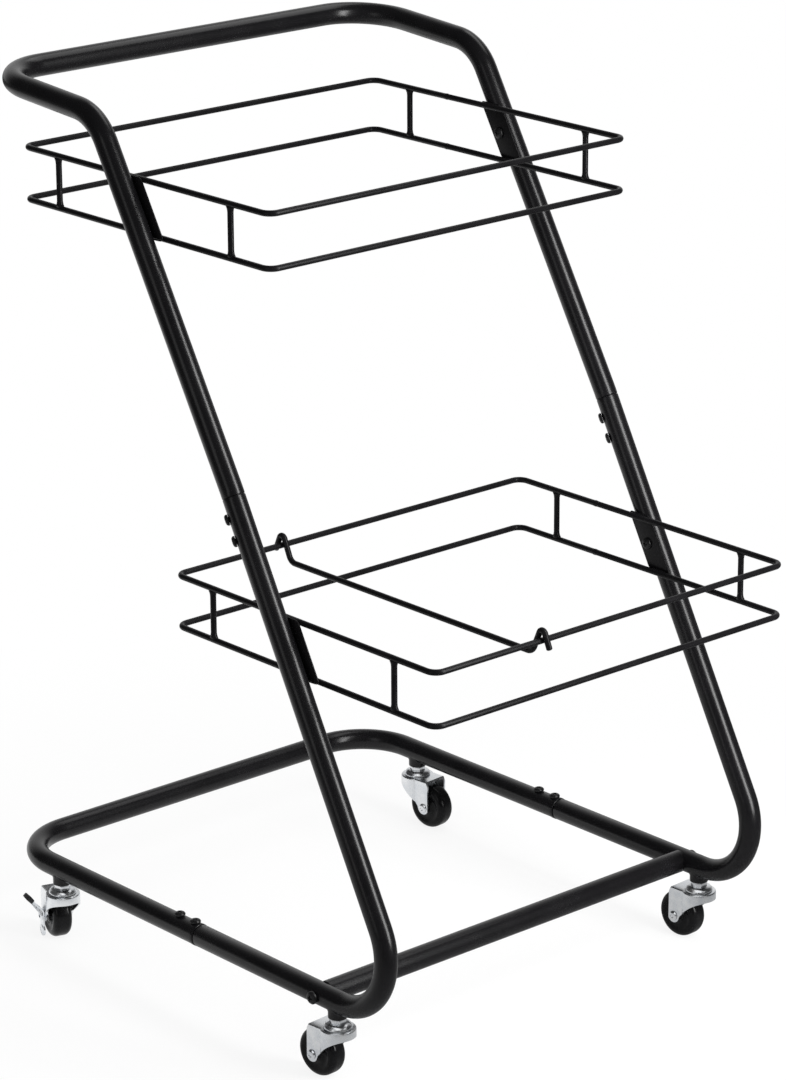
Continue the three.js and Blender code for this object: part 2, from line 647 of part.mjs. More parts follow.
// Pressed steel fork: a round skirted race, a flat tail and two tapering cheeks to the axle
function makeFork(name, group) {
  const plateZ = FORK_TOP_Z - FORK_T;
  const skirtZ = FORK_TOP_Z - SKIRT_H;
  const tailX = CASTER_TRAIL + FORK_TAIL;
  const noseX = -Math.sqrt(RACE_R * RACE_R - FORK_OUT * FORK_OUT);
  const cheek = new THREE.Shape();
  cheek.moveTo(noseX, FORK_TOP_Z);
  cheek.lineTo(noseX, skirtZ);
  const archZ = WHEEL_R + FORK_ARCH_ABOVE_AXLE;
  cheek.quadraticCurveTo(FORK_ARCH_X, archZ, CASTER_TRAIL - FORK_EYE_R, WHEEL_R);
  cheek.absarc(CASTER_TRAIL, WHEEL_R, FORK_EYE_R, Math.PI, 2 * Math.PI, false);
  cheek.lineTo(tailX, FORK_TOP_Z);
  cheek.closePath();
  const eye = new THREE.Path();
  eye.absarc(CASTER_TRAIL, WHEEL_R, AXLE_R + FIT_GAP, 0, 2 * Math.PI, true);
  cheek.holes.push(eye);
  const cheeks = plateFrom(cheek, 2 * FORK_OUT);
  // The outline's axes become X and Z, and its thickness runs towards -Y
  cheeks.applyMatrix4(new THREE.Matrix4().makeBasis(X_AXIS, Z_AXIS, Y_AXIS.clone().negate()));
  cheeks.translate(0, FORK_OUT, 0);
  const raceOutline = [
    [0, plateZ],
    [RACE_R - FORK_T, plateZ],
    [RACE_R - FORK_T, skirtZ],
    [RACE_R, skirtZ],
    [RACE_R, FORK_TOP_Z - RACE_EDGE],
    [RACE_R - RACE_EDGE, FORK_TOP_Z],
    [0, FORK_TOP_Z],
  ];
  const race = solid(turned(raceOutline, v3(0, 0, 0), Z_AXIS, RACE_SIDES));
  const between = solid(block(v3(-RACE_R, -FORK_IN, 0), v3(2 * tailX, FORK_IN, plateZ)));
  const wheelRoom = solid(block(v3(-FORK_T, -FORK_IN, 0), v3(2 * tailX, FORK_IN, plateZ)));
  const kingR = KING_PIN_R + RUNNING_GAP;
  const kingHole = solid(pin(v3(0, 0, skirtZ), Z_AXIS, kingR, 2 * SKIRT_H, TURNED_SIDES));
  const body = solid(cheeks).subtract(between).add(race).subtract(wheelRoom).subtract(kingHole);
  addPiece(`caster_fork_${name}`, body, finish.zinc, group);
}

// Riveted axle; on the braked caster it also carries the lever, so it is longer there
function makeAxle(name, group, brake) {
  const near = FORK_OUT + FIT_GAP;
  const far = near + (brake ? LEVER_T + FIT_GAP : 0);
  const outline = [
    [0, -near - AXLE_HEAD_H],
    [AXLE_HEAD_R * RIVET_CROWN, -near - AXLE_HEAD_H],
    [AXLE_HEAD_R, -near],
    [AXLE_R, -near],
    [AXLE_R, far],
    [AXLE_HEAD_R, far],
    [AXLE_HEAD_R * RIVET_CROWN, far + AXLE_HEAD_H],
    [0, far + AXLE_HEAD_H],
  ];
  const axle = turned(outline, v3(CASTER_TRAIL, 0, WHEEL_R), Y_AXIS, SCREW_SIDES);
  addPiece(`caster_axle_${name}`, axle, finish.zinc, group);
}

// Wheel with a hub, a dished side and round shoulders; its flats touch the floor
function makeWheel(name, group) {
  const half = WHEEL_WIDTH / 2;
  const treadR = WHEEL_R / Math.cos(Math.PI / WHEEL_SIDES);
  const rimR = treadR - WHEEL_SHOULDER_R;
  const bevel = WHEEL_SHOULDER_R * (1 - Math.SQRT1_2);
  const sideOutline = [
    [AXLE_R + RUNNING_GAP, half],
    [HUB_R, half],
    [HUB_R + WHEEL_DISH, half - WHEEL_DISH],
    [rimR - WHEEL_RIM, half - WHEEL_DISH],
    [rimR, half],
    [treadR - bevel, half - bevel],
    [treadR, half - WHEEL_SHOULDER_R],
  ];
  const lowSide = sideOutline.map(([radius, y]) => [radius, -y]);
  const outline = [...lowSide, ...sideOutline.slice().reverse(), lowSide[0]];
  const wheel = turned(outline, v3(0, 0, 0), Y_AXIS, WHEEL_SIDES);
  wheel.rotateY(Math.PI / WHEEL_SIDES);
  wheel.translate(CASTER_TRAIL, 0, WHEEL_R);
  addPiece(`caster_wheel_${name}`, wheel, finish.tread, group);
}

// The lever's strip as seen along the trail, from a height up to its top, grown outwards by a margin
function leverStrip(lowZ, grow) {
  const foldZ = WHEEL_R + LEVER_FOLD_ABOVE_AXLE;
  const topZ = WHEEL_R + LEVER_TOP_ABOVE_AXLE;
  const inY = FORK_OUT + FIT_GAP - grow;
  const outY = FORK_OUT + FIT_GAP + LEVER_T + grow;
  const lean = LEVER_OUT / (topZ - foldZ);
  const yAt = (y, z) => y + Math.max(0, z - foldZ) * lean;
  const strip = new THREE.Shape();
  const heights = lowZ < foldZ ? [lowZ, foldZ, topZ + grow] : [lowZ, topZ + grow];
  strip.setFromPoints([
    ...heights.map((z) => new THREE.Vector2(yAt(outY, z), z)),
    ...heights.slice().reverse().map((z) => new THREE.Vector2(yAt(inY, z), z)),
  ]);
  const halfWidth = LEVER_HALF_WIDTH + grow;
  const body = plateFrom(strip, 2 * halfWidth);
  // The outline's axes become Y and Z, and its thickness becomes X
  body.applyMatrix4(new THREE.Matrix4().makeBasis(Y_AXIS, Z_AXIS, X_AXIS));
  return body.translate(CASTER_TRAIL - halfWidth, 0, 0);
}

// Brake lever: it turns on the axle, its lower end is round and its foot tab carries a cap
function makeBrake(name, group) {
  const lobeZ = WHEEL_R - LEVER_BELOW_AXLE;
  const topZ = WHEEL_R + LEVER_TOP_ABOVE_AXLE;
  const inY = FORK_OUT + FIT_GAP;
  const lobeStart = v3(CASTER_TRAIL, inY, lobeZ);
  const lobe = solid(pin(lobeStart, Y_AXIS, LEVER_LOBE_R, LEVER_T, TURNED_SIDES));
  const eyeStart = v3(CASTER_TRAIL, inY - LEVER_T, WHEEL_R);
  const eye = solid(pin(eyeStart, Y_AXIS, AXLE_R + RUNNING_GAP, 3 * LEVER_T, TURNED_SIDES));
  const lever = solid(leverStrip(lobeZ, 0)).add(lobe).subtract(eye);
  addPiece(`brake_lever_${name}`, lever, finish.zinc, group);
  const pocket = solid(leverStrip(topZ - CAP_HEIGHT - LEVER_T, FIT_GAP));
  const cap = solid(leverStrip(topZ - CAP_HEIGHT, CAP_WALL)).subtract(pocket);
  addPiece(`brake_lever_cap_${name}`, cap, finish.cap, group);
}

function makeCaster({ name, side, y, heading, brake }) {
  const x = side * FRAME_X;
  makeSocket(name, x, y);
  const group = new THREE.Group();
  group.position.set(x, y, 0);
  group.rotation.z = THREE.MathUtils.degToRad(heading);
  cart.add(group);
  makeStem(name, group);
  makeFork(name, group);
  makeAxle(name, group, brake);
  makeWheel(name, group);
  if (brake) makeBrake(name, group);
}

makeHandle();
makeLeg("left", -1);
makeLeg("right", 1);
makeRearBase();
makeCrossBar();
BASKETS.forEach(makeBasket);
makeDivider();
makeScrews();
CASTERS.forEach(makeCaster);

export default cart;
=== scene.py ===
# %% [markdown]
# # A rolling file cart
# The cart is a frame of bent steel tube, two open wire baskets, a divider rod that slides along the lower
# one, and four small swivel casters. Its measured parts come from CAD as a fixed frame, with flat facets.
# This lesson makes each part again with a fine surface, in exactly the same place, and gives it the finish
# of the real thing: satin black powder coat, bright zinc and hard black plastic.

import math

import bmesh
import bpy
from mathutils import Matrix, Vector


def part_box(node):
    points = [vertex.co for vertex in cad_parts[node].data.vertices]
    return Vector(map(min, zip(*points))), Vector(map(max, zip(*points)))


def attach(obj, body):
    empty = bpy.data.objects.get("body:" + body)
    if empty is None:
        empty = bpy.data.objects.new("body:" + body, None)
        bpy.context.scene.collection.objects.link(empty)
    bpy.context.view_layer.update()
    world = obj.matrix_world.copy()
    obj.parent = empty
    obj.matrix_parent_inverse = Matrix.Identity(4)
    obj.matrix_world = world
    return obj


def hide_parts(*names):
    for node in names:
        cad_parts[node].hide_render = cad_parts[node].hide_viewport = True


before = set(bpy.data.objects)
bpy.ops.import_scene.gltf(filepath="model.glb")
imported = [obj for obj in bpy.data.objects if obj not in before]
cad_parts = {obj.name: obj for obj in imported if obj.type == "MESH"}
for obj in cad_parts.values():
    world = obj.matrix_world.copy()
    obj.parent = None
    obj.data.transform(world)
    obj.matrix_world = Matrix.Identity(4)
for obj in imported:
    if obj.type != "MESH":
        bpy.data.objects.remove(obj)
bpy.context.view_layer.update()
mm = 0.001

# %% [markdown]
# ## The camera
# The view is from the cart's front left and a little above it, through a long lens that keeps the legs
# nearly parallel. Pointing a camera at an empty would also work, but a matrix built from its right, up and
# back directions lets us add the slight roll of a camera that isn't quite level.

# %% Camera
azimuth = math.radians(-41.387)
elevation = math.radians(18.531)
roll = math.radians(-0.296)
eye = Vector((-2155.3, -2448.5, 1464.3)) * mm
level = math.cos(elevation)
back = Vector((math.sin(azimuth) * level, -math.cos(azimuth) * level, math.sin(elevation)))
right = Vector((math.cos(azimuth), math.sin(azimuth), 0))
up = back.cross(right)
aim = Matrix((right, up, back)).transposed() @ Matrix.Rotation(roll, 3, "Z")
lens = bpy.data.cameras.new("camera")
lens.lens = 136.877
lens.clip_end = 50
camera = bpy.data.objects.new("camera", lens)
camera.matrix_world = Matrix.Translation(eye) @ aim.to_4x4()
bpy.context.scene.collection.objects.link(camera)
bpy.context.scene.camera = camera
print("camera", [round(c, 3) for c in eye], "m, lens", lens.lens, "mm")

# %% [markdown]
# ## Studio
# Black satin metal shows mostly what it reflects, so the studio makes the picture. A white room gives every
# tube its pale rims. A wide softbox overhead lights the level tubes along their tops, and two upright strip
# boxes in front draw the long streaks down the leaning legs. The floor stays an ordinary pale surface near
# the cart, so that it takes a shadow, and turns plain white further out. To mirrors the floor shows painted
# studio light instead, brightest behind the cart and dimmer towards the front.

# %% White room
scene = bpy.context.scene
scene.view_settings.view_transform = "Standard"


def add_node(tree, kind, **settings):
    node = tree.nodes.new(kind)
    for name, value in settings.items():
        setattr(node, name, value)
    return node


room_fill = 0.55
dim_side = 0.04
sweep_glow = 0.8
room = bpy.data.worlds.new("white_room")
room.use_nodes = True
tree = room.node_tree
tree.nodes.clear()
path = add_node(tree, "ShaderNodeLightPath")
fill = add_node(tree, "ShaderNodeBackground")
fill.inputs["Color"].default_value = (1, 1, 1, 1)
fill.inputs["Strength"].default_value = room_fill
white = add_node(tree, "ShaderNodeBackground")
white.inputs["Color"].default_value = (1, 1, 1, 1)

# Mirrors see a white sweep behind the cart and the dim half of the studio in front of it
studio = add_node(tree, "ShaderNodeBackground")
facing = add_node(tree, "ShaderNodeTexCoord")
behind = add_node(tree, "ShaderNodeVectorMath", operation="DOT_PRODUCT")
behind.inputs[1].default_value = (0.66, 0.75, 0.0)
sweep = add_node(tree, "ShaderNodeMapRange", interpolation_type="SMOOTHSTEP")
sweep.inputs["From Min"].default_value = 0.45
sweep.inputs["From Max"].default_value = 0.98
sweep.inputs["To Min"].default_value = dim_side
sweep.inputs["To Max"].default_value = sweep_glow
tree.links.new(facing.outputs["Generated"], behind.inputs[0])
tree.links.new(behind.outputs["Value"], sweep.inputs["Value"])
tree.links.new(sweep.outputs["Result"], studio.inputs["Color"])

mirrored = add_node(tree, "ShaderNodeMixShader")
tree.links.new(path.outputs["Is Glossy Ray"], mirrored.inputs["Fac"])
tree.links.new(fill.outputs[0], mirrored.inputs[1])
tree.links.new(studio.outputs[0], mirrored.inputs[2])
straight = add_node(tree, "ShaderNodeMath", operation="MAXIMUM")
tree.links.new(path.outputs["Is Camera Ray"], straight.inputs[0])
tree.links.new(path.outputs["Is Transmission Ray"], straight.inputs[1])
pick = add_node(tree, "ShaderNodeMixShader")
out = add_node(tree, "ShaderNodeOutputWorld")
tree.links.new(straight.outputs[0], pick.inputs["Fac"])
tree.links.new(mirrored.outputs[0], pick.inputs[1])
tree.links.new(white.outputs[0], pick.inputs[2])
tree.links.new(pick.outputs[0], out.inputs["Surface"])
scene.world = room
print("room fill", room_fill)

# %% Softboxes


def softbox(name, target, heading, height, distance, size, glow):
    """A rectangular lamp aimed at a point, with its brightness given per area of its face."""
    lamp = bpy.data.lights.new(name, "AREA")
    lamp.shape = "RECTANGLE"
    lamp.size, lamp.size_y = size
    lamp.energy = glow * math.pi * size[0] * size[1]
    turn, rise = math.radians(heading), math.radians(height)
    direction = Vector((math.sin(turn) * math.cos(rise), -math.cos(turn) * math.cos(rise), math.sin(rise)))
    box = bpy.data.objects.new(name, lamp)
    facing = direction.to_track_quat("Z", "Y").to_matrix().to_4x4()
    box.matrix_world = Matrix.Translation(Vector(target) + direction * distance) @ facing
    scene.collection.objects.link(box)
    print(name, "at", [round(c, 2) for c in box.matrix_world.translation], "power", round(lamp.energy, 1))
    return box


softbox("overhead_box", (0, 0.26, 0.756), 90, 52, 1.6, (1.3, 0.6), 2.2)
strip = softbox("right_strip", (0.206, -0.12, 0.32), 2, 28, 0.95, (0.32, 1.25), 15.0)
softbox("left_wall", (0, 0, 0.4), -77, 14, 2.4, (0.7, 1.5), 1.1)

# %% Floor


def seen_directly(tree):
    """1 on rays from the camera, off a mirror or through glass, and 0 on the rays that only light things."""
    path = add_node(tree, "ShaderNodeLightPath")
    camera_or_gloss = add_node(tree, "ShaderNodeMath", operation="MAXIMUM")
    or_glass = add_node(tree, "ShaderNodeMath", operation="MAXIMUM")
    tree.links.new(path.outputs["Is Camera Ray"], camera_or_gloss.inputs[0])
    tree.links.new(path.outputs["Is Glossy Ray"], camera_or_gloss.inputs[1])
    tree.links.new(camera_or_gloss.outputs[0], or_glass.inputs[0])
    tree.links.new(path.outputs["Is Transmission Ray"], or_glass.inputs[1])
    return or_glass.outputs[0]


floor_bm = bmesh.new()
bmesh.ops.create_grid(floor_bm, x_segments=1, y_segments=1, size=9)
floor_mesh = bpy.data.meshes.new("floor")
floor_bm.to_mesh(floor_mesh)
floor_bm.free()
floor = bpy.data.objects.new("floor", floor_mesh)
scene.collection.objects.link(floor)

paper = bpy.data.materials.new("white_paper")
paper.use_nodes = True
tree = paper.node_tree
sheet = tree.nodes["Principled BSDF"]
sheet.inputs["Base Color"].default_value = (0.93, 0.93, 0.93, 1)
sheet.inputs["Roughness"].default_value = 0.9
sheet.inputs["Specular IOR Level"].default_value = 0
glow = add_node(tree, "ShaderNodeEmission")
glow.inputs["Strength"].default_value = 1
place = add_node(tree, "ShaderNodeTexCoord")
away = add_node(tree, "ShaderNodeVectorMath", operation="LENGTH")
fade = add_node(tree, "ShaderNodeMapRange", interpolation_type="SMOOTHSTEP")
fade.inputs["From Min"].default_value = 0.2
fade.inputs["From Max"].default_value = 0.85
fade.inputs["To Min"].default_value = 0.86
shown = add_node(tree, "ShaderNodeMath", operation="MULTIPLY")

# Painted reflection: to mirrors the sheet glows brightest behind the cart and dims towards the front
path = add_node(tree, "ShaderNodeLightPath")
from_behind = add_node(tree, "ShaderNodeVectorMath", operation="DISTANCE")
from_behind.inputs[1].default_value = (-0.3, 1.2, 0.0)
end = add_node(tree, "ShaderNodeMapRange", interpolation_type="SMOOTHSTEP")
end.inputs["From Min"].default_value = 0.4
end.inputs["From Max"].default_value = 2.0
end.inputs["To Min"].default_value = 1.0
end.inputs["To Max"].default_value = 0.1
# Mirror rays get this painted light level as the sheet's glow, and camera rays get plain white
shade = add_node(tree, "ShaderNodeMix", data_type="RGBA")
shade.inputs[6].default_value = (1, 1, 1, 1)
tree.links.new(place.outputs["Object"], from_behind.inputs[0])
tree.links.new(from_behind.outputs["Value"], end.inputs["Value"])
tree.links.new(path.outputs["Is Glossy Ray"], shade.inputs["Factor"])
tree.links.new(end.outputs["Result"], shade.inputs[7])
tree.links.new(shade.outputs[2], glow.inputs["Color"])
pick = add_node(tree, "ShaderNodeMixShader")
tree.links.new(place.outputs["Object"], away.inputs[0])
tree.links.new(away.outputs["Value"], fade.inputs["Value"])
tree.links.new(fade.outputs["Result"], shown.inputs[0])
tree.links.new(seen_directly(tree), shown.inputs[1])
mirror_too = add_node(tree, "ShaderNodeMath", operation="MAXIMUM")
tree.links.new(shown.outputs[0], mirror_too.inputs[0])
tree.links.new(path.outputs["Is Glossy Ray"], mirror_too.inputs[1])
tree.links.new(mirror_too.outputs[0], pick.inputs["Fac"])
tree.links.new(sheet.outputs[0], pick.inputs[1])
tree.links.new(glow.outputs[0], pick.inputs[2])
tree.links.new(pick.outputs[0], tree.nodes["Material Output"].inputs["Surface"])
floor_mesh.materials.append(paper)
print("floor", floor_mesh.name)

# %% [markdown]
# ## Effects that the finishes share
# Powder coat is sprayed on as dust and melted, which leaves soft bumps like orange peel. Its black drifts a
# little from place to place, and bright metal and hard plastic carry hair-fine rubs. Each effect is a node
# group, built once, and every finish sets it to its own scale. A group hands out colours, masks and heights,
# and the shader itself stays in the material.

# %% Shared effects


def new_effect(name, inputs, outputs):
    """An empty node group with named sockets; returns the group, its input node and its output node."""
    group = bpy.data.node_groups.new(name, "ShaderNodeTree")
    for label, kind, value in inputs:
        socket = group.interface.new_socket(name=label, in_out="INPUT", socket_type=kind)
        socket.default_value = value
    for label, kind in outputs:
        group.interface.new_socket(name=label, in_out="OUTPUT", socket_type=kind)
    return group, add_node(group, "NodeGroupInput"), add_node(group, "NodeGroupOutput")


def noise(tree, scale, detail, source=None):
    """A noise texture on Object coordinates; scale is a number or a socket, in bumps per metre."""
    texture = add_node(tree, "ShaderNodeTexNoise")
    texture.inputs["Detail"].default_value = detail
    if source is None:
        source = add_node(tree, "ShaderNodeTexCoord").outputs["Object"]
    tree.links.new(source, texture.inputs["Vector"])
    if isinstance(scale, (int, float)):
        texture.inputs["Scale"].default_value = scale
    else:
        tree.links.new(scale, texture.inputs["Scale"])
    return texture.outputs["Fac"]


orange_peel, given, result = new_effect(
    "orange_peel",
    [("Bumps", "NodeSocketFloat", 700.0), ("Dust", "NodeSocketFloat", 0.1)],
    [("Height", "NodeSocketFloat")],
)
soft = noise(orange_peel, given.outputs["Bumps"], 1.5)
finer = add_node(orange_peel, "ShaderNodeMath", operation="MULTIPLY")
finer.inputs[1].default_value = 5.5
orange_peel.links.new(given.outputs["Bumps"], finer.inputs[0])
grit = noise(orange_peel, finer.outputs[0], 0)
both = add_node(orange_peel, "ShaderNodeMath", operation="MULTIPLY_ADD")
orange_peel.links.new(grit, both.inputs[0])
orange_peel.links.new(given.outputs["Dust"], both.inputs[1])
orange_peel.links.new(soft, both.inputs[2])
orange_peel.links.new(both.outputs[0], result.inputs["Height"])

tone_drift, given, result = new_effect(
    "tone_drift",
    [
        ("Patches", "NodeSocketFloat", 30.0),
        ("Deep", "NodeSocketColor", (0.01, 0.01, 0.01, 1)),
        ("Pale", "NodeSocketColor", (0.02, 0.02, 0.02, 1)),
    ],
    [("Color", "NodeSocketColor"), ("Mask", "NodeSocketFloat")],
)
cloud = noise(tone_drift, given.outputs["Patches"], 4)
spread = add_node(tone_drift, "ShaderNodeMapRange")
spread.inputs["From Min"].default_value = 0.3
spread.inputs["From Max"].default_value = 0.7
blend = add_node(tone_drift, "ShaderNodeMix", data_type="RGBA")
tone_drift.links.new(cloud, spread.inputs["Value"])
tone_drift.links.new(spread.outputs["Result"], blend.inputs["Factor"])
tone_drift.links.new(given.outputs["Deep"], blend.inputs[6])
tone_drift.links.new(given.outputs["Pale"], blend.inputs[7])
tone_drift.links.new(blend.outputs[2], result.inputs["Color"])
tone_drift.links.new(spread.outputs["Result"], result.inputs["Mask"])

fine_rubs, given, result = new_effect(
    "fine_rubs",
    [("Lines", "NodeSocketFloat", 500.0), ("Stretch", "NodeSocketVector", (1.0, 1.0, 0.06))],
    [("Mask", "NodeSocketFloat")],
)
place = add_node(fine_rubs, "ShaderNodeTexCoord")
drawn = add_node(fine_rubs, "ShaderNodeVectorMath", operation="MULTIPLY")
fine_rubs.links.new(place.outputs["Object"], drawn.inputs[0])
fine_rubs.links.new(given.outputs["Stretch"], drawn.inputs[1])
hair = noise(fine_rubs, given.outputs["Lines"], 3, drawn.outputs[0])
crisp = add_node(fine_rubs, "ShaderNodeMapRange")
crisp.inputs["From Min"].default_value = 0.42
crisp.inputs["From Max"].default_value = 0.72
fine_rubs.links.new(hair, crisp.inputs["Value"])
fine_rubs.links.new(crisp.outputs["Result"], result.inputs["Mask"])
print("effects:", [g.name for g in bpy.data.node_groups])

# %% [markdown]
# ## Finishes
# Six finishes cover the cart. Tubes, wires and screws are black coats that differ in grain and gloss. The
# casters have zinc plate, which is bright but never quite a mirror, hard moulded wheels and a matte foot
# cap. One function builds them all, so that they differ only in the values that a maker would quote.

# %% Finish builder


def use_effect(tree, effect, **values):
    node = add_node(tree, "ShaderNodeGroup", node_tree=effect)
    for label, value in values.items():
        node.inputs[label].default_value = value
    return node


def make_finish(name, deep, pale, patches, gloss, rubs, bumps, bump_height, metallic=0.0, sheen_level=0.5):
    """gloss is the roughness at its smoothest and at its dullest, rubs how the hairlines are stretched."""
    finish = bpy.data.materials.new(name)
    finish.use_nodes = True
    tree = finish.node_tree
    shader = tree.nodes["Principled BSDF"]
    shader.inputs["Metallic"].default_value = metallic
    shader.inputs["Specular IOR Level"].default_value = sheen_level
    drift = use_effect(tree, tone_drift, Patches=patches, Deep=(*deep, 1), Pale=(*pale, 1))
    tree.links.new(drift.outputs["Color"], shader.inputs["Base Color"])
    hairs = use_effect(tree, fine_rubs, Stretch=rubs)
    wear = add_node(tree, "ShaderNodeMath", operation="MULTIPLY_ADD", use_clamp=True)
    wear.inputs[1].default_value = 0.35
    tree.links.new(hairs.outputs["Mask"], wear.inputs[0])
    tree.links.new(drift.outputs["Mask"], wear.inputs[2])
    dull = add_node(tree, "ShaderNodeMapRange")
    dull.inputs["To Min"].default_value = gloss[0]
    dull.inputs["To Max"].default_value = gloss[1]
    tree.links.new(wear.outputs[0], dull.inputs["Value"])
    tree.links.new(dull.outputs["Result"], shader.inputs["Roughness"])
    peel = use_effect(tree, orange_peel, Bumps=bumps)
    bump = add_node(tree, "ShaderNodeBump")
    bump.inputs["Strength"].default_value = 0.6
    bump.inputs["Distance"].default_value = bump_height
    tree.links.new(peel.outputs["Height"], bump.inputs["Height"])
    tree.links.new(bump.outputs["Normal"], shader.inputs["Normal"])
    print("finish", name)
    return finish


# %% Finishes
tube_coat = make_finish(
    "tube_coat", (0.0042, 0.0040, 0.0046), (0.0064, 0.0061, 0.0069), 26, (0.245, 0.275), (1, 1, 1), 620, 0.010 * mm,
    sheen_level=0.3
)
wire_coat = make_finish(
    "wire_coat", (0.0045, 0.0043, 0.0048), (0.0075, 0.0072, 0.0080), 40, (0.28, 0.32), (1, 1, 1), 900, 0.007 * mm,
    sheen_level=0.11
)
screw_black = make_finish(
    "screw_black", (0.005, 0.005, 0.0054), (0.010, 0.010, 0.0106), 220, (0.26, 0.42), (1, 1, 1), 1500, 0.02 * mm,
    sheen_level=0.3
)
bright_zinc = make_finish(
    "bright_zinc",
    (0.70, 0.73, 0.77),
    (0.92, 0.93, 0.94),
    130,
    (0.20, 0.34),
    (1, 1, 0.08),
    1400,
    0.008 * mm,
    metallic=1.0,
)
wheel_black = make_finish(
    "wheel_black", (0.0040, 0.0040, 0.0044), (0.0066, 0.0066, 0.0070), 120, (0.13, 0.24), (1, 1, 0.2), 800, 0.012 * mm,
    sheen_level=0.15
)
cap_black = make_finish(
    "cap_black", (0.009, 0.009, 0.0095), (0.015, 0.015, 0.016), 160, (0.42, 0.55), (1, 1, 1), 2600, 0.03 * mm
)

# %% [markdown]
# ## From bmesh to piece
# Every piece ends the same way: doubled points are merged, faces are turned outwards, and the mesh becomes
# an object at the origin that rides on its CAD body and stands for its CAD part. Edges sharper than a given
# angle stay crisp and the rest is shaded smooth.

# %% Finish a piece
made = {}


def finish_piece(bm, node, body, coat, sharp=35):
    bmesh.ops.remove_doubles(bm, verts=bm.verts, dist=0.002 * mm)
    bmesh.ops.recalc_face_normals(bm, faces=bm.faces)
    mesh = bpy.data.meshes.new(node + "_fine")
    bm.to_mesh(mesh)
    bm.free()
    mesh.shade_smooth()
    mesh.set_sharp_from_angle(angle=math.radians(sharp))
    mesh.materials.append(coat)
    piece = bpy.data.objects.new(node + "_fine", mesh)
    scene.collection.objects.link(piece)
    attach(piece, body)
    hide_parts(node)
    made[node] = piece
    low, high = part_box(node)
    points = [v.co for v in mesh.vertices]
    own_low = Vector(min(p[i] for p in points) for i in range(3))
    own_high = Vector(max(p[i] for p in points) for i in range(3))
    off = max(max(abs(c) for c in own_low - low), max(abs(c) for c in own_high - high)) / mm
    print(f"{node}: {len(mesh.polygons)} faces, box within {off:.2f} mm of the CAD part")
    return piece


# %% [markdown]
# ## Bending round bar
# A tube bender feeds the bar forward, then swings it round a former, and does so again for each bend. Tube
# and wire are made here in just that way. A ring of points is extruded along a straight run and spun about
# the middle of a bend. A curve with a bevel would look the same from afar, but the ring gives true bend
# radii and a closed mesh whose ends can be shaped.

# %% Bar bending tools


def points_of(made_geometry):
    return [g for g in made_geometry if isinstance(g, bmesh.types.BMVert)]


def start_ring(bm, centre, along, radius, sides):
    turn = along.to_track_quat("Z", "Y").to_matrix().to_4x4()
    place = Matrix.Translation(centre) @ turn
    ring = bmesh.ops.create_circle(bm, segments=sides, radius=radius, matrix=place)["verts"]
    return list({edge for point in ring for edge in point.link_edges})


def feed(bm, ring, shift, factor=1.0):
    """Extrudes a ring of edges by a shift and widens or narrows its new end."""
    grown = bmesh.ops.extrude_edge_only(bm, edges=ring)["geom"]
    points = points_of(grown)
    bmesh.ops.translate(bm, verts=points, vec=shift)
    centre = sum((p.co for p in points), Vector()) / len(points)
    bmesh.ops.scale(bm, verts=points, vec=(factor, factor, factor), space=Matrix.Translation(-centre))
    new = set(points)
    return [g for g in grown if isinstance(g, bmesh.types.BMEdge) and set(g.verts) <= new]


def swing(bm, ring, centre, axis, angle, steps):
    spun = bmesh.ops.spin(bm, geom=ring, cent=centre, axis=axis, angle=angle, steps=steps)
    return [g for g in spun["geom_last"] if isinstance(g, bmesh.types.BMEdge)]


def bend_bar(bm, corners, bends, radius, sides, step):
    """A bar along corner points with one bend radius for each inner corner; returns its two end rings."""
    run = (corners[1] - corners[0]).normalized()
    first = ring = start_ring(bm, corners[0], run, radius, sides)
    here = corners[0]
    for corner, after, bend in zip(corners[1:], corners[2:], bends):
        next_run = (after - corner).normalized()
        turn = run.angle(next_run)
        axis = run.cross(next_run).normalized()
        start = corner - run * bend * math.tan(turn / 2)
        ring = feed(bm, ring, start - here)
        steps = max(2, round(turn / step))
        ring = swing(bm, ring, start + axis.cross(run) * bend, axis, turn, steps)
        here = corner + next_run * bend * math.tan(turn / 2)
        run = next_run
    return first, feed(bm, ring, corners[-1] - here)


def close_end(bm, ring):
    bmesh.ops.edgeloop_fill(bm, edges=ring)


print("bar tools ready")

# %% [markdown]
# ## The tube frame
# Five tubes make the frame. The push handle is one tube: both upper legs, both arms and the grip. Each lower
# leg turns round the foot and runs back along the floor, a U joins the two behind, and a straight bar ties
# the feet. Where two tubes meet, one end is narrowed and plugged into the other, which shows as a fine dark
# ring with softened lips. The same corner points as in the CAD drive the paths.

# %% Tube sizes
tube_r = 9.5 * mm
tube_wall = 1.2 * mm
fit_gap = 0.3 * mm
tube_sides = 48
tube_step = math.radians(4)
side_x = 206.1 * mm
base_z = 69 * mm
foot_y = -262.6 * mm
lower_lean = math.radians(28.65)
upper_lean = math.radians(30.5)
seam_z = 465 * mm
seam_y = foot_y + (seam_z - base_z) * math.tan(lower_lean)
leg_up = Vector((0, math.sin(lower_lean), math.cos(lower_lean)))
base_seam_y = 7.8 * mm
lip_r = 0.6 * mm
plug_length = 55 * mm
plug_lead = 1 * mm
flare_rise = 2 * mm
flare_run = 3 * mm
mouth_length = flare_rise + flare_run + lip_r
print("leg seam at y", round(seam_y / mm, 2), "mm")

# %% Tube ends


def plug_end(bm, ring, along):
    """The swaged end: a soft shoulder, then the narrow stretch that goes into the next tube."""
    plug_r = tube_r - tube_wall - fit_gap
    for share in (1, 2, 3):
        turn = math.radians(30 * share)
        before = math.radians(30 * (share - 1))
        ahead = lip_r * (math.sin(turn) - math.sin(before))
        was = tube_r - lip_r * (1 - math.cos(before))
        ring = feed(bm, ring, along * ahead, (tube_r - lip_r * (1 - math.cos(turn))) / was)
    ring = feed(bm, ring, Vector(), plug_r / (tube_r - lip_r))
    ring = feed(bm, ring, along * (plug_length - lip_r - plug_lead))
    close_end(bm, feed(bm, ring, along * plug_lead, 0.9))


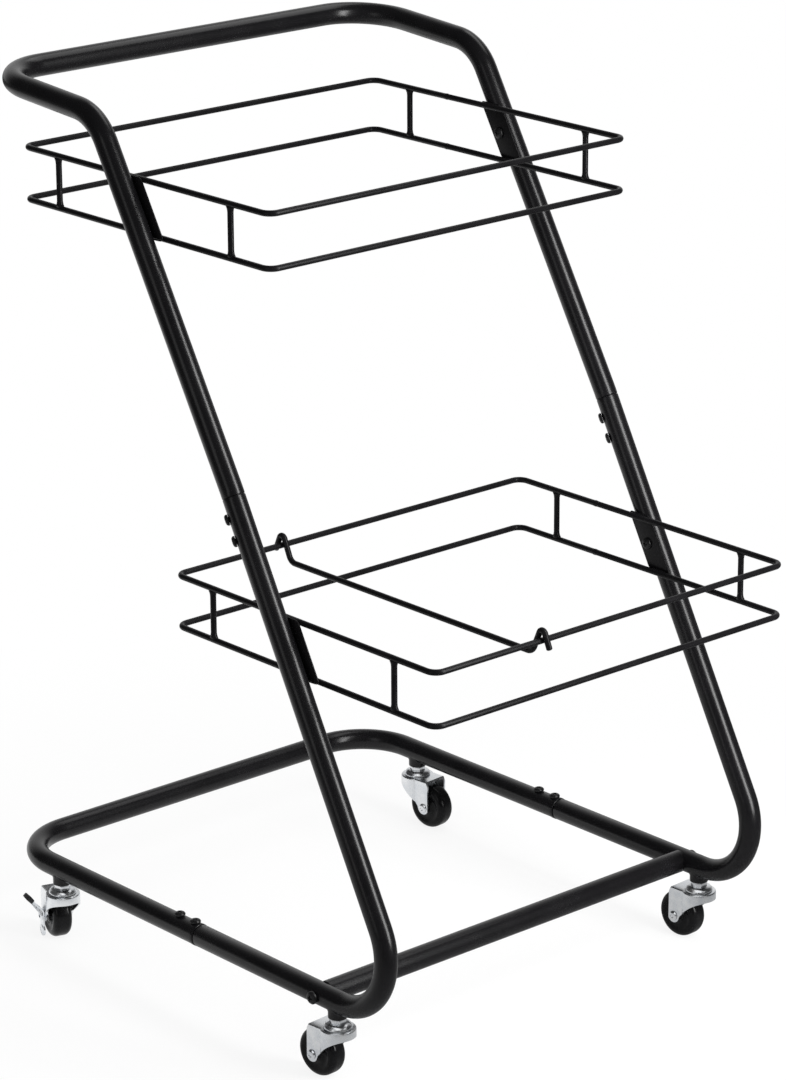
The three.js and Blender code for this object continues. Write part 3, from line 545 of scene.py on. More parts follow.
def mouth_end(bm, ring, along, flare=0.0):
    """The open end that takes a plug: a stretched rim, a soft lip and the bore for the plug."""
    bore_r = tube_r - tube_wall
    outer_r = tube_r + flare
    ring = feed(bm, ring, along * flare_rise, outer_r / tube_r)
    ring = feed(bm, ring, along * flare_run)
    for share in (1, 2, 3):
        turn = math.radians(30 * share)
        before = math.radians(30 * (share - 1))
        ahead = lip_r * (math.sin(turn) - math.sin(before))
        was = outer_r - lip_r * (1 - math.cos(before))
        ring = feed(bm, ring, along * ahead, (outer_r - lip_r * (1 - math.cos(turn))) / was)
    ring = feed(bm, ring, Vector(), bore_r / (outer_r - lip_r))
    close_end(bm, feed(bm, ring, -along * (plug_length + 2 * mm)))


# %% Push handle
handle_y = 262.8 * mm
handle_z = 756.5 * mm
arm_rise = math.radians(4.2)
seam_set = 6 * mm
arm_bend = 45 * mm
grip_bend = 51 * mm
arm_foot_z = handle_z - (handle_y - seam_y) * math.tan(arm_rise)
elbow_z = seam_z + (arm_foot_z - seam_z) / (1 - math.tan(upper_lean) * math.tan(arm_rise))


def handle_side(side):
    seam = Vector((side * side_x, seam_y, seam_z))
    start = seam + leg_up * (fit_gap + lip_r)
    set_back = seam + leg_up * seam_set
    elbow_y = set_back.y + (elbow_z - set_back.z) * math.tan(upper_lean)
    elbow = Vector((side * side_x, elbow_y, elbow_z))
    return [start, set_back, elbow, Vector((side * side_x, handle_y, handle_z))]


bm = bmesh.new()
corners = handle_side(-1) + handle_side(1)[::-1]
bends = [arm_bend, arm_bend, grip_bend, grip_bend, arm_bend, arm_bend]
left_end, right_end = bend_bar(bm, corners, bends, tube_r, tube_sides, tube_step)
plug_end(bm, left_end, -leg_up)
plug_end(bm, right_end, -leg_up)
finish_piece(bm, "handle_tube", "frame", tube_coat)

# %% Legs and rear base
foot_bend = 54 * mm
seam_shadow = 0.5 * mm
for side_name, side in (("left", -1), ("right", 1)):
    x = side * side_x
    top = Vector((x, seam_y, seam_z)) - leg_up * mouth_length
    foot = Vector((x, foot_y, base_z))
    behind = Vector((x, base_seam_y - fit_gap - lip_r - seam_shadow, base_z))
    bm = bmesh.new()
    top_end, rear_end = bend_bar(bm, [top, foot, behind], [foot_bend], tube_r, tube_sides, tube_step)
    mouth_end(bm, top_end, leg_up)
    plug_end(bm, rear_end, Vector((0, 1, 0)))
    finish_piece(bm, side_name + "_leg_tube", "frame", tube_coat)

rear_y = 269.4 * mm
corners = [
    Vector((-side_x, base_seam_y + mouth_length, base_z)),
    Vector((-side_x, rear_y, base_z)),
    Vector((side_x, rear_y, base_z)),
    Vector((side_x, base_seam_y + mouth_length, base_z)),
]
bm = bmesh.new()
ends = bend_bar(bm, corners, [foot_bend, foot_bend], tube_r, tube_sides, tube_step)
for end in ends:
    mouth_end(bm, end, Vector((0, -1, 0)), 0.28 * mm)
finish_piece(bm, "rear_base_tube", "frame", tube_coat)

# %% [markdown]
# ## The cross bar
# Its ends are fish-mouthed: cut hollow so that they hug the round foot tubes. A boolean cut would do it, but
# sliding each point of the end ring along the bar until it meets the foot tube gives the same curve with
# clean quads.

# %% Cross bar
cross_y = -147.5 * mm
bm = bmesh.new()
start = Vector((-side_x / 2, cross_y, base_z))
ring = start_ring(bm, start, Vector((1, 0, 0)), tube_r, tube_sides)
far_ring = feed(bm, ring, Vector((side_x, 0, 0)))
for end, side in ((ring, -1), (far_ring, 1)):
    mouth = feed(bm, end, Vector((side * side_x / 4, 0, 0)))
    for point in {p for edge in mouth for p in edge.verts}:
        clear = tube_r + fit_gap
        hollow = math.sqrt(max(clear**2 - (point.co.z - base_z) ** 2, 0))
        point.co.x = side * (side_x - max(hollow, tube_r / 2))
    inner = feed(bm, mouth, Vector(), 1)
    points = list({p for edge in inner for p in edge.verts})
    narrow = 1 - tube_wall / tube_r
    hold = Matrix.Translation((0, -cross_y, -base_z))
    bmesh.ops.scale(bm, verts=points, vec=(1, narrow, narrow), space=hold)
    close_end(bm, feed(bm, inner, Vector((-side * 4 * mm, 0, 0))))
finish_piece(bm, "cross_bar", "frame", tube_coat)

# %% [markdown]
# ## Screws
# Pan head screws hold the tube joints and larger ones the cross bar. A square grid, pulled ring by ring into
# circles, makes a domed head whose middle faces are still a neat cross, so the driver's recess is just those
# faces inset and pushed down.

# %% Screw maker
grid_cells = 12


def pan_head(bm, head_r, head_h, shank_r, reach):
    """A screw standing on the XY plane, head up, with a cross recess."""
    grid = bmesh.ops.create_grid(bm, x_segments=grid_cells, y_segments=grid_cells, size=head_r)["verts"]
    for point in grid:
        out_by = max(abs(point.co.x), abs(point.co.y))
        if out_by > 0:
            point.co = point.co.normalized() * out_by
        share = out_by / head_r
        point.co.z = head_h * (1 - 0.22 * share**2 - 0.33 * share**8)
    cell = 2 * head_r / grid_cells
    rim = [e for e in bm.edges if e.is_boundary]
    cross = []
    for face in bm.faces:
        middle = face.calc_center_median()
        near, far = sorted((abs(middle.x), abs(middle.y)))
        if near < cell and far < 3.2 * cell:
            cross.append(face)
    bmesh.ops.inset_region(bm, faces=cross, thickness=0.12 * cell)
    sunk = list({p for face in cross for p in face.verts})
    bmesh.ops.scale(bm, verts=sunk, vec=(0.8, 0.8, 1))
    bmesh.ops.translate(bm, verts=sunk, vec=(0, 0, -0.42 * head_h))
    rim = feed(bm, rim, Vector((0, 0, -0.2 * head_h)), 1.0)
    for point in {p for edge in rim for p in edge.verts}:
        point.co.z = 0.12 * head_h
    rim = feed(bm, rim, Vector((0, 0, -0.12 * head_h)), 0.97)
    rim = feed(bm, rim, Vector(), shank_r / (0.97 * head_r))
    close_end(bm, feed(bm, rim, Vector((0, 0, -reach))))


def drive_screw(node, seat, outward, head_r, head_h, shank_r, reach):
    bm = bmesh.new()
    pan_head(bm, head_r, head_h, shank_r, reach)
    turn = outward.to_track_quat("Z", "Y").to_matrix().to_4x4()
    bmesh.ops.transform(bm, verts=bm.verts, matrix=Matrix.Translation(seat) @ turn)
    finish_piece(bm, node, "frame", screw_black, sharp=50)


# %% Tube screws
screw = (4.6 * mm, 3 * mm, 2.4 * mm, 6 * mm)
for side_name, side in (("left", -1), ("right", 1)):
    rearward = Vector((0, math.cos(lower_lean), -math.sin(lower_lean)))
    outward = Matrix.Rotation(math.radians(50), 3, leg_up) @ rearward
    seam = Vector((side * side_x, seam_y, seam_z))
    for i, drop in enumerate((16 * mm, 34 * mm)):
        seat = seam - leg_up * drop + outward * (tube_r + fit_gap)
        drive_screw(f"leg_screw_{side_name}_{i + 1}", seat, outward, *screw)
    for i, step in enumerate((6.5 * mm, 27 * mm)):
        seat = Vector((side * side_x, base_seam_y + step, base_z + tube_r + fit_gap))
        drive_screw(f"base_screw_{side_name}_{i + 1}", seat, Vector((0, 0, 1)), *screw)
    seat = Vector((side * (side_x + tube_r + fit_gap), cross_y, base_z))
    bolt_head = (5.5 * mm, 3.6 * mm, 2.4 * mm, 24 * mm)
    drive_screw(f"cross_bar_bolt_{side_name}", seat, Vector((side, 0, 0)), *bolt_head)

# %% [markdown]
# ## Wire baskets
# Each basket is two rounded rectangles of wire, four short posts between them and two flat plates that take
# the bolts. A rectangle is bent from one length, and where its ends meet there is a small welded ring. The
# posts swell where they are welded on, more along the wire than across it.

# %% Basket wires
wire_r = 2.5 * mm
wire_sides = 20
wire_step = math.radians(9)
rail_x = 192 * mm
half_depth = 157.5 * mm
corner_bend = 9 * mm
baskets = {}
for name, bolt_y, ahead, top_z in (("upper", 77.87, -1.5, 697.7), ("lower", -108.64, 2.0, 372.8)):
    baskets[name] = {"bolt_y": bolt_y * mm, "y": (bolt_y - ahead) * mm, "top": top_z * mm}
    baskets[name]["bottom"] = baskets[name]["top"] - 44 * mm


def bend_rectangle(middle_y, z):
    weld_y = middle_y + 62 * mm
    half_weld = 2 * mm
    corners = [
        Vector((rail_x, weld_y + half_weld, z)),
        Vector((rail_x, middle_y + half_depth, z)),
        Vector((-rail_x, middle_y + half_depth, z)),
        Vector((-rail_x, middle_y - half_depth, z)),
        Vector((rail_x, middle_y - half_depth, z)),
        Vector((rail_x, weld_y - half_weld, z)),
    ]
    bm = bmesh.new()
    first, ring = bend_bar(bm, corners, [corner_bend] * 4, wire_r, wire_sides, wire_step)
    swell = (1.0, 1.07, 1.10, 1.10, 1.07, 1.0)
    for before, after in zip(swell, swell[1:]):
        ring = feed(bm, ring, Vector((0, 0.8 * mm, 0)), after / before)
    return bm


for name, basket in baskets.items():
    for level in ("top", "bottom"):
        bm = bend_rectangle(basket["y"], basket[level])
        finish_piece(bm, f"{name}_basket_{level}_wire", "frame", wire_coat)

# %% Posts
post_y = 110.5 * mm
flare = ((1.2, 0.9, 1.9), (2.5, 1.12, 1.75), (3.4, 1.1, 1.36), (4.6, 1.05, 1.14), (6.5, 1.0, 1.0))


def weld_post(bm, x, y, top, bottom):
    """A wire upright whose ring is stretched near both ends, where it runs out into the weld."""
    lengthwise = [(bottom + d * mm, sx, sy) for d, sx, sy in flare]
    lengthwise += [(top - d * mm, sx, sy) for d, sx, sy in reversed(flare)]
    foot = Vector((x, y, lengthwise[0][0]))
    ring = start_ring(bm, foot, Vector((0, 0, 1)), wire_r, wire_sides)
    rings = [ring]
    for (z0, _, _), (z1, _, _) in zip(lengthwise, lengthwise[1:]):
        rings.append(feed(bm, rings[-1], Vector((0, 0, z1 - z0))))
    for edges, (z, sx, sy) in zip(rings, lengthwise):
        points = list({p for edge in edges for p in edge.verts})
        bmesh.ops.scale(bm, verts=points, vec=(sx, sy, 1), space=Matrix.Translation((-x, -y, 0)))
    close_end(bm, rings[0])
    close_end(bm, rings[-1])


for name, basket in baskets.items():
    for side_name, side in (("left", -1), ("right", 1)):
        for end_name, end in (("front", -1), ("rear", 1)):
            bm = bmesh.new()
            weld_post(bm, side * rail_x, basket["y"] + end * post_y, basket["top"], basket["bottom"])
            node = f"{name}_basket_post_{side_name}_{end_name}"
            finish_piece(bm, node, "frame", wire_coat)

# %% Bracket plates and bolts
plate_t = 1.5 * mm
plate_in_x = rail_x + wire_r + fit_gap
plate_front = 15.5 * mm
plate_rear = 9.5 * mm
for name, basket in baskets.items():
    lean = upper_lean if name == "upper" else lower_lean
    high = basket["top"] + wire_r
    low = basket["bottom"] - 0.4 * mm
    middle_z = (basket["top"] + basket["bottom"]) / 2
    for side_name, side in (("left", -1), ("right", 1)):
        bm = bmesh.new()
        bmesh.ops.create_cube(bm, size=1)
        size = Vector((plate_t, plate_front + plate_rear, high - low))
        bmesh.ops.scale(bm, verts=bm.verts, vec=size)
        offset = Vector((0, (plate_rear - plate_front) / 2, (high + low) / 2 - middle_z))
        bmesh.ops.translate(bm, verts=bm.verts, vec=offset)
        follow_leg = Matrix(((1, 0, 0), (0, 1, math.tan(lean)), (0, 0, 1)))
        bmesh.ops.transform(bm, verts=bm.verts, matrix=follow_leg.to_4x4())
        spot = Vector((side * (plate_in_x + plate_t / 2), basket["bolt_y"], middle_z))
        bmesh.ops.translate(bm, verts=bm.verts, vec=spot)
        corner_edges = [e for e in bm.edges if abs(e.verts[0].co.x - e.verts[1].co.x) > plate_t / 2]
        bmesh.ops.bevel(
            bm,
            geom=corner_edges,
            offset=3.4 * mm,
            affect="EDGES",
            segments=5,
            profile=0.5,
            material=-1,
        )
        bmesh.ops.bevel(
            bm,
            geom=[e for e in bm.edges if e.calc_face_angle(0) > 1],
            offset=0.6 * mm,
            affect="EDGES",
            segments=3,
            profile=0.5,
            material=-1,
        )
        for wire_z in (basket["top"], basket["bottom"]):
            shift = (wire_z - middle_z) * math.tan(lean) + (plate_rear - plate_front) / 2
            for above in (-1, 1):
                seam = bmesh.ops.create_uvsphere(bm, u_segments=12, v_segments=8, radius=1)["verts"]
                bmesh.ops.scale(bm, verts=seam, vec=(0.9 * mm, 8 * mm, 0.9 * mm))
                inside = Vector((side * (rail_x + 1.9 * mm), basket["bolt_y"] + shift, wire_z + above * 1.7 * mm))
                bmesh.ops.translate(bm, verts=seam, vec=inside)
        finish_piece(bm, f"{name}_bracket_{side_name}", "frame", wire_coat)
        seat = Vector((side * (plate_in_x - fit_gap), basket["bolt_y"], middle_z))
        bolt = (5 * mm, 2.6 * mm, 2.6 * mm, 9 * mm)
        drive_screw(f"{name}_bracket_bolt_{side_name}", seat, Vector((-side, 0, 0)), *bolt)

# %% [markdown]
# ## The divider rod
# One wire spans the lower basket from front to rear. At each end it rises, passes over the top wire in a
# narrow hook and comes down outside it, so it can be slid sideways but not lifted by accident. Its cut ends
# are rounded, which three shrinking rings are enough to show.

# %% Divider rod
divider_x = -79.4 * mm
hook_r = 3.3 * mm
spread = math.radians(24)
top = baskets["lower"]["top"]
rod_z = top - 12.3 * mm
crown_z = top + (2 * wire_r + fit_gap - hook_r) / math.sin(spread)
peak = crown_z + hook_r / math.sin(spread)
tip_z = top - 6 * mm


def hook(end):
    wire_y = baskets["lower"]["y"] + end * half_depth
    tip = Vector((divider_x, wire_y + end * (peak - tip_z) * math.tan(spread), tip_z))
    over = Vector((divider_x, wire_y, peak))
    foot = Vector((divider_x, wire_y - end * (peak - rod_z) * math.tan(spread), rod_z))
    return [tip, over, foot]


def round_end(bm, ring, along, radius):
    for share in (1, 2, 3):
        turn = math.radians(28 * share)
        before = math.radians(28 * (share - 1))
        ahead = radius * (math.sin(turn) - math.sin(before)) * 0.5
        ring = feed(bm, ring, along * ahead, math.cos(turn) / math.cos(before))
    close_end(bm, ring)


bm = bmesh.new()
corners = hook(-1) + hook(1)[::-1]
pull_in = 1.0 * mm
first_along = (corners[0] - corners[1]).normalized()
last_along = (corners[-1] - corners[-2]).normalized()
corners[0] = corners[0] - first_along * pull_in
corners[-1] = corners[-1] - last_along * pull_in
front_tip, rear_tip = bend_bar(bm, corners, [hook_r, 8 * mm, 8 * mm, hook_r], wire_r, wire_sides, wire_step)
round_end(bm, front_tip, first_along, wire_r)
round_end(bm, rear_tip, last_along, wire_r)
finish_piece(bm, "divider_rod", "divider", wire_coat)

# %% [markdown]
# ## Casters
# A caster is a stack on one upright axis: a black sleeve under the tube, a hexagon, a domed upper race and,
# free to swivel below it, a pressed fork with its wheel trailing behind. Round pieces are turned as on a
# lathe: a few profile points, their corners rounded with a vertex bevel, are spun through a full circle.
# Each piece is made once round the caster's own axis and then moved to its place.

# %% Caster tools
trail = 18 * mm
wheel_r = 20.5 * mm
casters = {
    "front_left": (-1, -166.6 * mm, 94),
    "front_right": (1, -166.6 * mm, 93),
    "rear_left": (-1, 198.4 * mm, 72),
    "rear_right": (1, 198.4 * mm, -85),
}


def caster_place(name):
    side, y, heading = casters[name]
    spot = Matrix.Translation((side * side_x, y, 0))
    return spot @ Matrix.Rotation(math.radians(heading), 4, "Z")


def lathe(bm, outline, steps=48, rounded=(), radius=0.0, segments=3):
    """Spins [radius, height] pairs about Z; the listed corners are rounded first."""
    points = [bm.verts.new((r, 0, z)) for r, z in outline]
    for a, b in zip(points, points[1:]):
        bm.edges.new((a, b))
    if rounded:
        bmesh.ops.bevel(
            bm,
            geom=[points[i] for i in rounded],
            offset=radius,
            affect="VERTICES",
            segments=segments,
            profile=0.5,
            material=-1,
        )
    profile = bm.verts[:] + bm.edges[:]
    bmesh.ops.spin(bm, geom=profile, cent=(0, 0, 0), axis=(0, 0, 1), angle=math.tau, steps=steps, use_merge=True)
    bmesh.ops.remove_doubles(bm, verts=bm.verts, dist=0.001 * mm)


def seat_on_caster(bm, name):
    bmesh.ops.transform(bm, verts=bm.verts, matrix=caster_place(name))


print("casters:", list(casters))

# %% Sleeves
fork_top = 46.7 * mm
running_gap = 0.4 * mm
dome_h = 4.2 * mm
hex_h = 3.6 * mm
hex_top = fork_top + running_gap + dome_h + hex_h
sleeve_bottom = hex_top + fit_gap
stem_room = 4.3 * mm
sleeve_r = 8 * mm
aloft = 100 * mm


def under_tube(point, x):
    """The height of the base tube's underside above or below a point."""
    across = min(abs(point.co.x - x), tube_r)
    return base_z - math.sqrt(tube_r**2 - across**2)


for name, (side, y, heading) in casters.items():
    bm = bmesh.new()
    outline = [
        (stem_room, sleeve_bottom),
        (sleeve_r, sleeve_bottom),
        (sleeve_r, aloft - 1.3 * mm),
        (sleeve_r + 0.45 * mm, aloft - 0.5 * mm),
        (sleeve_r + 0.9 * mm, aloft + 0.1 * mm),
        (sleeve_r - 0.5 * mm, aloft + 0.9 * mm),
        (stem_room, aloft + 0.9 * mm),
        (stem_room, sleeve_bottom),
    ]
    lathe(bm, outline, 40, rounded=(1,), radius=0.7 * mm)
    seat_on_caster(bm, name)
    # The upper rings were turned too high; each point now drops to the tube, which shapes the saddle
    for point in bm.verts:
        if point.co.z > base_z + tube_r:
            point.co.z += under_tube(point, side * side_x) - aloft
    finish_piece(bm, f"caster_socket_{name}", "frame", tube_coat)

# %% Stems
dome_z = fork_top + running_gap
for name in casters:
    bm = bmesh.new()
    head_z = fork_top - 1.6 * mm - running_gap
    outline = [
        (0, head_z - 1.7 * mm),
        (4.6 * mm, head_z - 1.6 * mm),
        (5.5 * mm, head_z),
        (3 * mm, head_z),
        (3 * mm, dome_z),
        (12 * mm, dome_z),
        (12 * mm, dome_z + 1.0 * mm),
        (10.4 * mm, dome_z + dome_h * 0.78),
        (8.0 * mm, dome_z + dome_h),
        (4 * mm, dome_z + dome_h),
        (4 * mm, base_z - 3 * mm),
        (0, base_z - 3 * mm),
    ]
    lathe(bm, outline, 48, rounded=(6, 7, 8), radius=0.8 * mm, segments=4)
    nut = bmesh.ops.create_cone(
        bm,
        cap_ends=True,
        segments=6,
        radius1=7.2 * mm,
        radius2=7.2 * mm,
        depth=hex_h + 0.5 * mm,
        matrix=Matrix.Translation((0, 0, hex_top - (hex_h + 0.5 * mm) / 2)),
    )["verts"]
    nut_edges = list({e for p in nut for e in p.link_edges})
    bmesh.ops.bevel(
        bm,
        geom=nut_edges,
        offset=0.4 * mm,
        affect="EDGES",
        segments=2,
        profile=0.5,
        material=-1,
    )
    seat_on_caster(bm, name)
    finish_piece(bm, f"caster_stem_{name}", "frame", bright_zinc)

# %% [markdown]
# ## The pressed fork
# The real fork starts as one flat blank of steel. A press folds its rim down, so the round race, the flat
# tail and both cheeks are a single skin. The mesh goes the same way: a disc is stretched into a tail, its
# rim is pulled down, the lower edge is trimmed to the cheek's outline, and only then does the skin get its
# thickness.

# %% Fork sizes
fork_t = 1.6 * mm
fork_out = 12.2 * mm
race_r = 15 * mm
skirt_z = fork_top - 7 * mm
tail_x = 23.5 * mm
tail_slant = 4.5 * mm
tail_cut = 2 * mm
tail_run = 6 * mm
fold_r = 1.1 * mm
eye_r = 6.2 * mm
arch_power = 1.6


def cheek_bottom(x):
    """How low the sheet reaches at a distance along the trail: round the axle, then up to the skirt."""
    if x > trail - eye_r:
        across = min(abs(x - trail), eye_r)
        return wheel_r - math.sqrt(eye_r**2 - across**2)
    share = (trail - eye_r - x) / (trail - eye_r + race_r)
    return wheel_r + (skirt_z - wheel_r) * (1 - (1 - share) ** arch_power)


print("cheek reaches", round(cheek_bottom(trail) / mm, 1), "mm above the floor")

# %% Disc with a tail


def disc_with_tail(bm, radius, half_width, reach, segments, cuts):
    """A flat disc on XY whose edge is drawn out along X into a straight tail with subdivided sides."""
    bmesh.ops.create_circle(bm, cap_ends=True, segments=segments, radius=radius)
    shoulder = math.sqrt(radius**2 - half_width**2)
    front = [e for e in bm.edges if min(p.co.x for p in e.verts) > shoulder - 0.03 * radius]
    grown = bmesh.ops.extrude_edge_only(bm, edges=front)["geom"]
    for point in points_of(grown):
        point.co.x = reach
    sides = [e for e in bm.edges if e.is_boundary and e.calc_length() > (reach - shoulder) / 2]
    for edge in sides:
        for point in edge.verts:
            point.co.y = math.copysign(half_width, point.co.y)
    bmesh.ops.subdivide_edges(bm, edges=sides, cuts=cuts)


# %% Forks


def press_fork():
    bm = bmesh.new()
    disc_with_tail(bm, race_r, fork_out, tail_x, 96, 24)
    # One face with a plain straight end leaves room for the folds
    bmesh.ops.dissolve_faces(bm, faces=bm.faces[:])
    tail_end = [p for p in bm.verts if p.co.x > tail_x - 0.01 * mm and abs(p.co.y) < fork_out - 0.01 * mm]
    bmesh.ops.dissolve_verts(bm, verts=tail_end)
    bmesh.ops.translate(bm, verts=bm.verts, vec=(0, 0, fork_top))
    rim = [e for e in bm.edges if e.is_boundary and min(p.co.x for p in e.verts) < tail_x - 0.001 * mm]
    grown = bmesh.ops.extrude_edge_only(bm, edges=rim)["geom"]
    for point in points_of(grown):
        point.co.z = cheek_bottom(point.co.x)
    bmesh.ops.bevel(
        bm,
        geom=rim,
        offset=fold_r,
        affect="EDGES",
        segments=4,
        profile=0.5,
        material=-1,
    )
    # The bevel leaves the straight sides' folds flat, so they are rounded here
    shoulder = math.sqrt(race_r**2 - fork_out**2)
    for point in bm.verts:
        turn = (abs(point.co.y) - fork_out + fold_r) / fold_r * math.pi / 2
        if turn > 0 and point.co.x > shoulder and point.co.z > fork_top - 0.001 * mm:
            inward = fold_r * (1 - math.sin(turn))
            point.co.y = math.copysign(fork_out - inward, point.co.y)
            point.co.z -= fold_r * (1 - math.cos(turn))
    bmesh.ops.recalc_face_normals(bm, faces=bm.faces)
    if max(bm.faces, key=lambda f: f.calc_center_median().z).normal.z < 0:
        bmesh.ops.reverse_faces(bm, faces=bm.faces)
    bmesh.ops.solidify(bm, geom=bm.faces[:], thickness=fork_t)
    # The tail's upper corners are cut at a slant
    everything = bm.verts[:] + bm.edges[:] + bm.faces[:]
    cut_z = fork_top - tail_slant
    bmesh.ops.bisect_plane(bm, geom=everything, plane_co=(0, 0, cut_z), plane_no=(0, 0, 1))
    for point in bm.verts:
        up = (point.co.z - cut_z) / tail_slant
        out = (point.co.x - tail_x + tail_run) / tail_run
        if up > 0 and out > 0:
            point.co.x -= tail_cut * up * out
    return bm


for name in casters:
    bm = press_fork()
    seat_on_caster(bm, name)
    finish_piece(bm, f"caster_fork_{name}", f"fork_{name}", bright_zinc, sharp=40)

# %% [markdown]
# ## Axles and wheels
# The axle is a rivet with a low round head on each side. The wheel is one hard plastic moulding, nearly as
# round as a ball at its shoulders, with a shallow dish round the hub on each side.

# %% Axles
lever_t = 1.5 * mm
for name in casters:
    braked = name == "rear_left"
    near = fork_out + fit_gap
    far = near + (lever_t + fit_gap if braked else 0)
    head = 1.6 * mm
    outline = [
        (0, -near - head * 0.62),
        (1.5 * mm, -near - head * 0.66),
        (2.0 * mm, -near - head),
        (3.0 * mm, -near - head * 0.96),
        (3.8 * mm, -near - head * 0.6),
        (4.2 * mm, -near),
        (2.5 * mm, -near),
    ]
    outline += [
        (2.5 * mm, far),
        (4.2 * mm, far),
        (3.8 * mm, far + head * 0.6),
        (3.0 * mm, far + head * 0.96),
        (2.0 * mm, far + head),
        (1.5 * mm, far + head * 0.66),
        (0, far + head * 0.62),
    ]
    bm = bmesh.new()
    lathe(bm, outline, 32)
    lay_down = Matrix.Translation((trail, 0, wheel_r)) @ Matrix.Rotation(math.radians(-90), 4, "X")
    bmesh.ops.transform(bm, verts=bm.verts, matrix=lay_down)
    seat_on_caster(bm, name)
    finish_piece(bm, f"caster_axle_{name}", f"fork_{name}", bright_zinc)

# %% Wheels
wheel_half = 8.5 * mm
dish = 1.2 * mm
for name in casters:
    side_outline = [
        (2.9 * mm, wheel_half),
        (6.5 * mm, wheel_half),
        (7.7 * mm, wheel_half - dish),
        (12.9 * mm, wheel_half - dish),
        (14.9 * mm, wheel_half),
        (wheel_r, wheel_half),
    ]
    outline = [(r, -h) for r, h in side_outline] + side_outline[::-1] + [(2.9 * mm, -wheel_half)]
    bm = bmesh.new()
    lathe(bm, outline, 72, rounded=(5, 6), radius=5.4 * mm, segments=12)
    lay_down = Matrix.Translation((trail, 0, wheel_r)) @ Matrix.Rotation(math.radians(-90), 4, "X")
    bmesh.ops.transform(bm, verts=bm.verts, matrix=lay_down)
    seat_on_caster(bm, name)
    finish_piece(bm, f"caster_wheel_{name}", f"wheel_{name}", wheel_black, sharp=50)

# %% [markdown]
# ## The brake lever
# Beside the rear left fork, a strip of zinc plated steel turns on the axle. Its lower end is round, and above
# the axle it is folded outwards to a tab with a black moulded cap for the shoe. The strip is drawn flat,
# folded along one line with a small bend radius, and then thickened.

# %% Brake lever
half_strip = 3.8 * mm
lobe_r = 5.6 * mm
lobe_z = wheel_r - 13.5 * mm
fold_z = wheel_r + 4.8 * mm
lever_top = wheel_r + 19.5 * mm
lever_out = 13.5 * mm
lean_out = math.atan2(lever_out, lever_top - fold_z)
strip_top = fold_z + (lever_top - fold_z) / math.cos(lean_out)
inner_y = fork_out + fit_gap
bm = bmesh.new()
disc_with_tail(bm, lobe_r, half_strip, strip_top - lobe_z, 48, 1)
lobe_face = max(bm.faces, key=lambda f: f.calc_area())
bmesh.ops.inset_individual(bm, faces=[lobe_face], thickness=1.6 * mm, depth=0)
bmesh.ops.inset_individual(bm, faces=[lobe_face], thickness=0.6 * mm, depth=0.5 * mm)
upright = Matrix(((0, 1, 0), (0, 0, 1), (1, 0, 0))).to_4x4()
bmesh.ops.transform(bm, verts=bm.verts, matrix=Matrix.Translation((trail, inner_y, lobe_z)) @ upright)
everything = bm.verts[:] + bm.edges[:] + bm.faces[:]
cut = bmesh.ops.bisect_plane(bm, geom=everything, plane_co=(0, 0, fold_z), plane_no=(0, 0, 1))
fold_edges = [g for g in cut["geom_cut"] if isinstance(g, bmesh.types.BMEdge)]
upper = [p for p in bm.verts if p.co.z > fold_z + 0.01 * mm]
turn = Matrix.Rotation(-lean_out, 3, "X")
bmesh.ops.rotate(bm, verts=upper, cent=(0, inner_y, fold_z), matrix=turn)
bmesh.ops.bevel(
    bm,
    geom=fold_edges,
    offset=2.2 * mm,
    affect="EDGES",
    segments=5,
    profile=0.5,
    material=-1,
)
bmesh.ops.recalc_face_normals(bm, faces=bm.faces)
lowest = min(bm.faces, key=lambda f: f.calc_center_median().z)
if lowest.normal.y < 0:
    bmesh.ops.reverse_faces(bm, faces=bm.faces)
# The front edge of the leaning part is turned down into a lip, which stiffens the lever
lip_edges = [e for e in bm.edges if e.is_boundary and min(p.co.z for p in e.verts) > fold_z]
lip_edges = [e for e in lip_edges if max(p.co.x for p in e.verts) < trail]
lip = points_of(bmesh.ops.extrude_edge_only(bm, edges=lip_edges)["geom"])
for point in lip:
    share = (point.co.z - fold_z) / (lever_top - fold_z)
    depth = (4.6 - 2.6 * share) * mm
    point.co += Vector((0, math.cos(lean_out), -math.sin(lean_out))) * depth
bmesh.ops.solidify(bm, geom=bm.faces[:], thickness=-lever_t)
seat_on_caster(bm, "rear_left")
finish_piece(bm, "brake_lever_rear_left", "brake", bright_zinc, sharp=40)

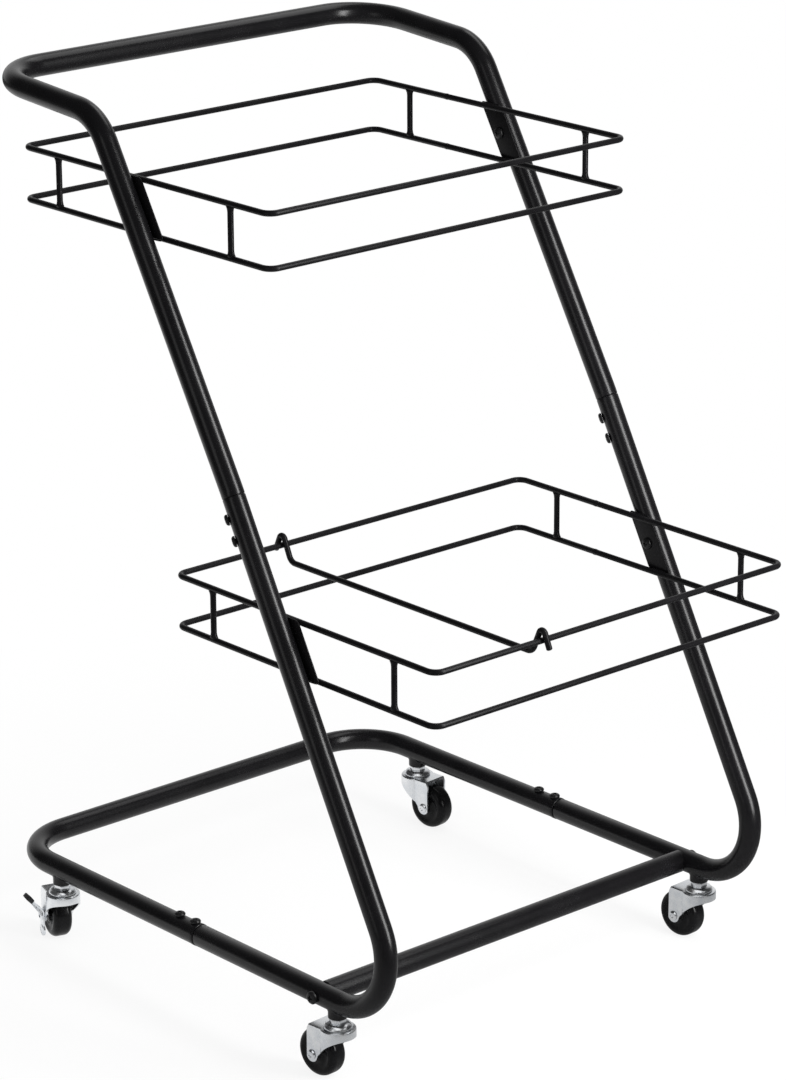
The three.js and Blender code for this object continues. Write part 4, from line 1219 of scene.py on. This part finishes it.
# %% Brake cap
cap_wall = 1.3 * mm
cap_h = 4.2 * mm
bm = bmesh.new()
bmesh.ops.create_cube(bm, size=1)
cap_length = (cap_h + cap_wall) / math.cos(lean_out)
cap_size = Vector((2 * (half_strip + cap_wall), lever_t + 2 * cap_wall, cap_length))
bmesh.ops.scale(bm, verts=bm.verts, vec=cap_size)
bmesh.ops.bevel(
    bm,
    geom=bm.edges[:],
    offset=0.9 * mm,
    affect="EDGES",
    segments=3,
    profile=0.5,
    material=-1,
)
for side in (-1, 1):
    tread = max(bm.faces, key=lambda f: f.calc_area() * f.normal.y * side)
    across = [e for e in tread.edges if abs(e.verts[0].co.z - e.verts[1].co.z) > mm]
    strips = bmesh.ops.subdivide_edges(bm, edges=across, cuts=6)["geom"]
    strips = [g for g in bm.faces if abs(g.normal.y * side - 1) < 0.01]
    strips.sort(key=lambda f: f.calc_center_median().z)
    bmesh.ops.inset_individual(bm, faces=strips[1::2], thickness=0.06 * mm, depth=-0.3 * mm)
along = Vector((0, math.sin(lean_out), math.cos(lean_out)))
tab_end = Vector((trail, inner_y + lever_t / 2, fold_z)) + along * (strip_top - fold_z)
cap_middle = tab_end + along * (cap_wall - cap_length / 2)
lean = Matrix.Translation(cap_middle) @ Matrix.Rotation(-lean_out, 4, "X")
bmesh.ops.transform(bm, verts=bm.verts, matrix=lean)
seat_on_caster(bm, "rear_left")
finish_piece(bm, "brake_lever_cap_rear_left", "brake", cap_black)

# %% [markdown]
# ## Cards for the casters
# The strip light that draws the streaks on the black legs would burn white spots into the bright zinc. A
# photographer holds a black card between the two and gives the metal white cards of its own. Light linking
# does the same: one collection is kept out of the strip's light, and another is all that the cards light.

# %% Cards
zinc_pieces = [piece for piece in made.values() if piece.data.materials[0] == bright_zinc]
cards = (
    softbox("high_card", (0, 0, 0.05), -20, 60, 1.3, (1.8, 1.4), 1.1),
    softbox("floor_card", (-0.3, -0.2, 0.3), 0, -90, 0.296, (2.4, 2.4), 0.17),
)
card_side = bpy.data.collections.new("lit_by_the_cards")
strip_side = bpy.data.collections.new("kept_out_of_the_strip_light")
for piece in zinc_pieces:
    card_side.objects.link(piece)
    strip_side.objects.link(piece)
for member in strip_side.collection_objects:
    member.light_linking.link_state = "EXCLUDE"
strip.light_linking.receiver_collection = strip_side
for card in cards:
    card.light_linking.receiver_collection = card_side
print("zinc pieces on the cards:", len(zinc_pieces))

# %% Finish
print("pieces made:", len(made), "of", len(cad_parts))
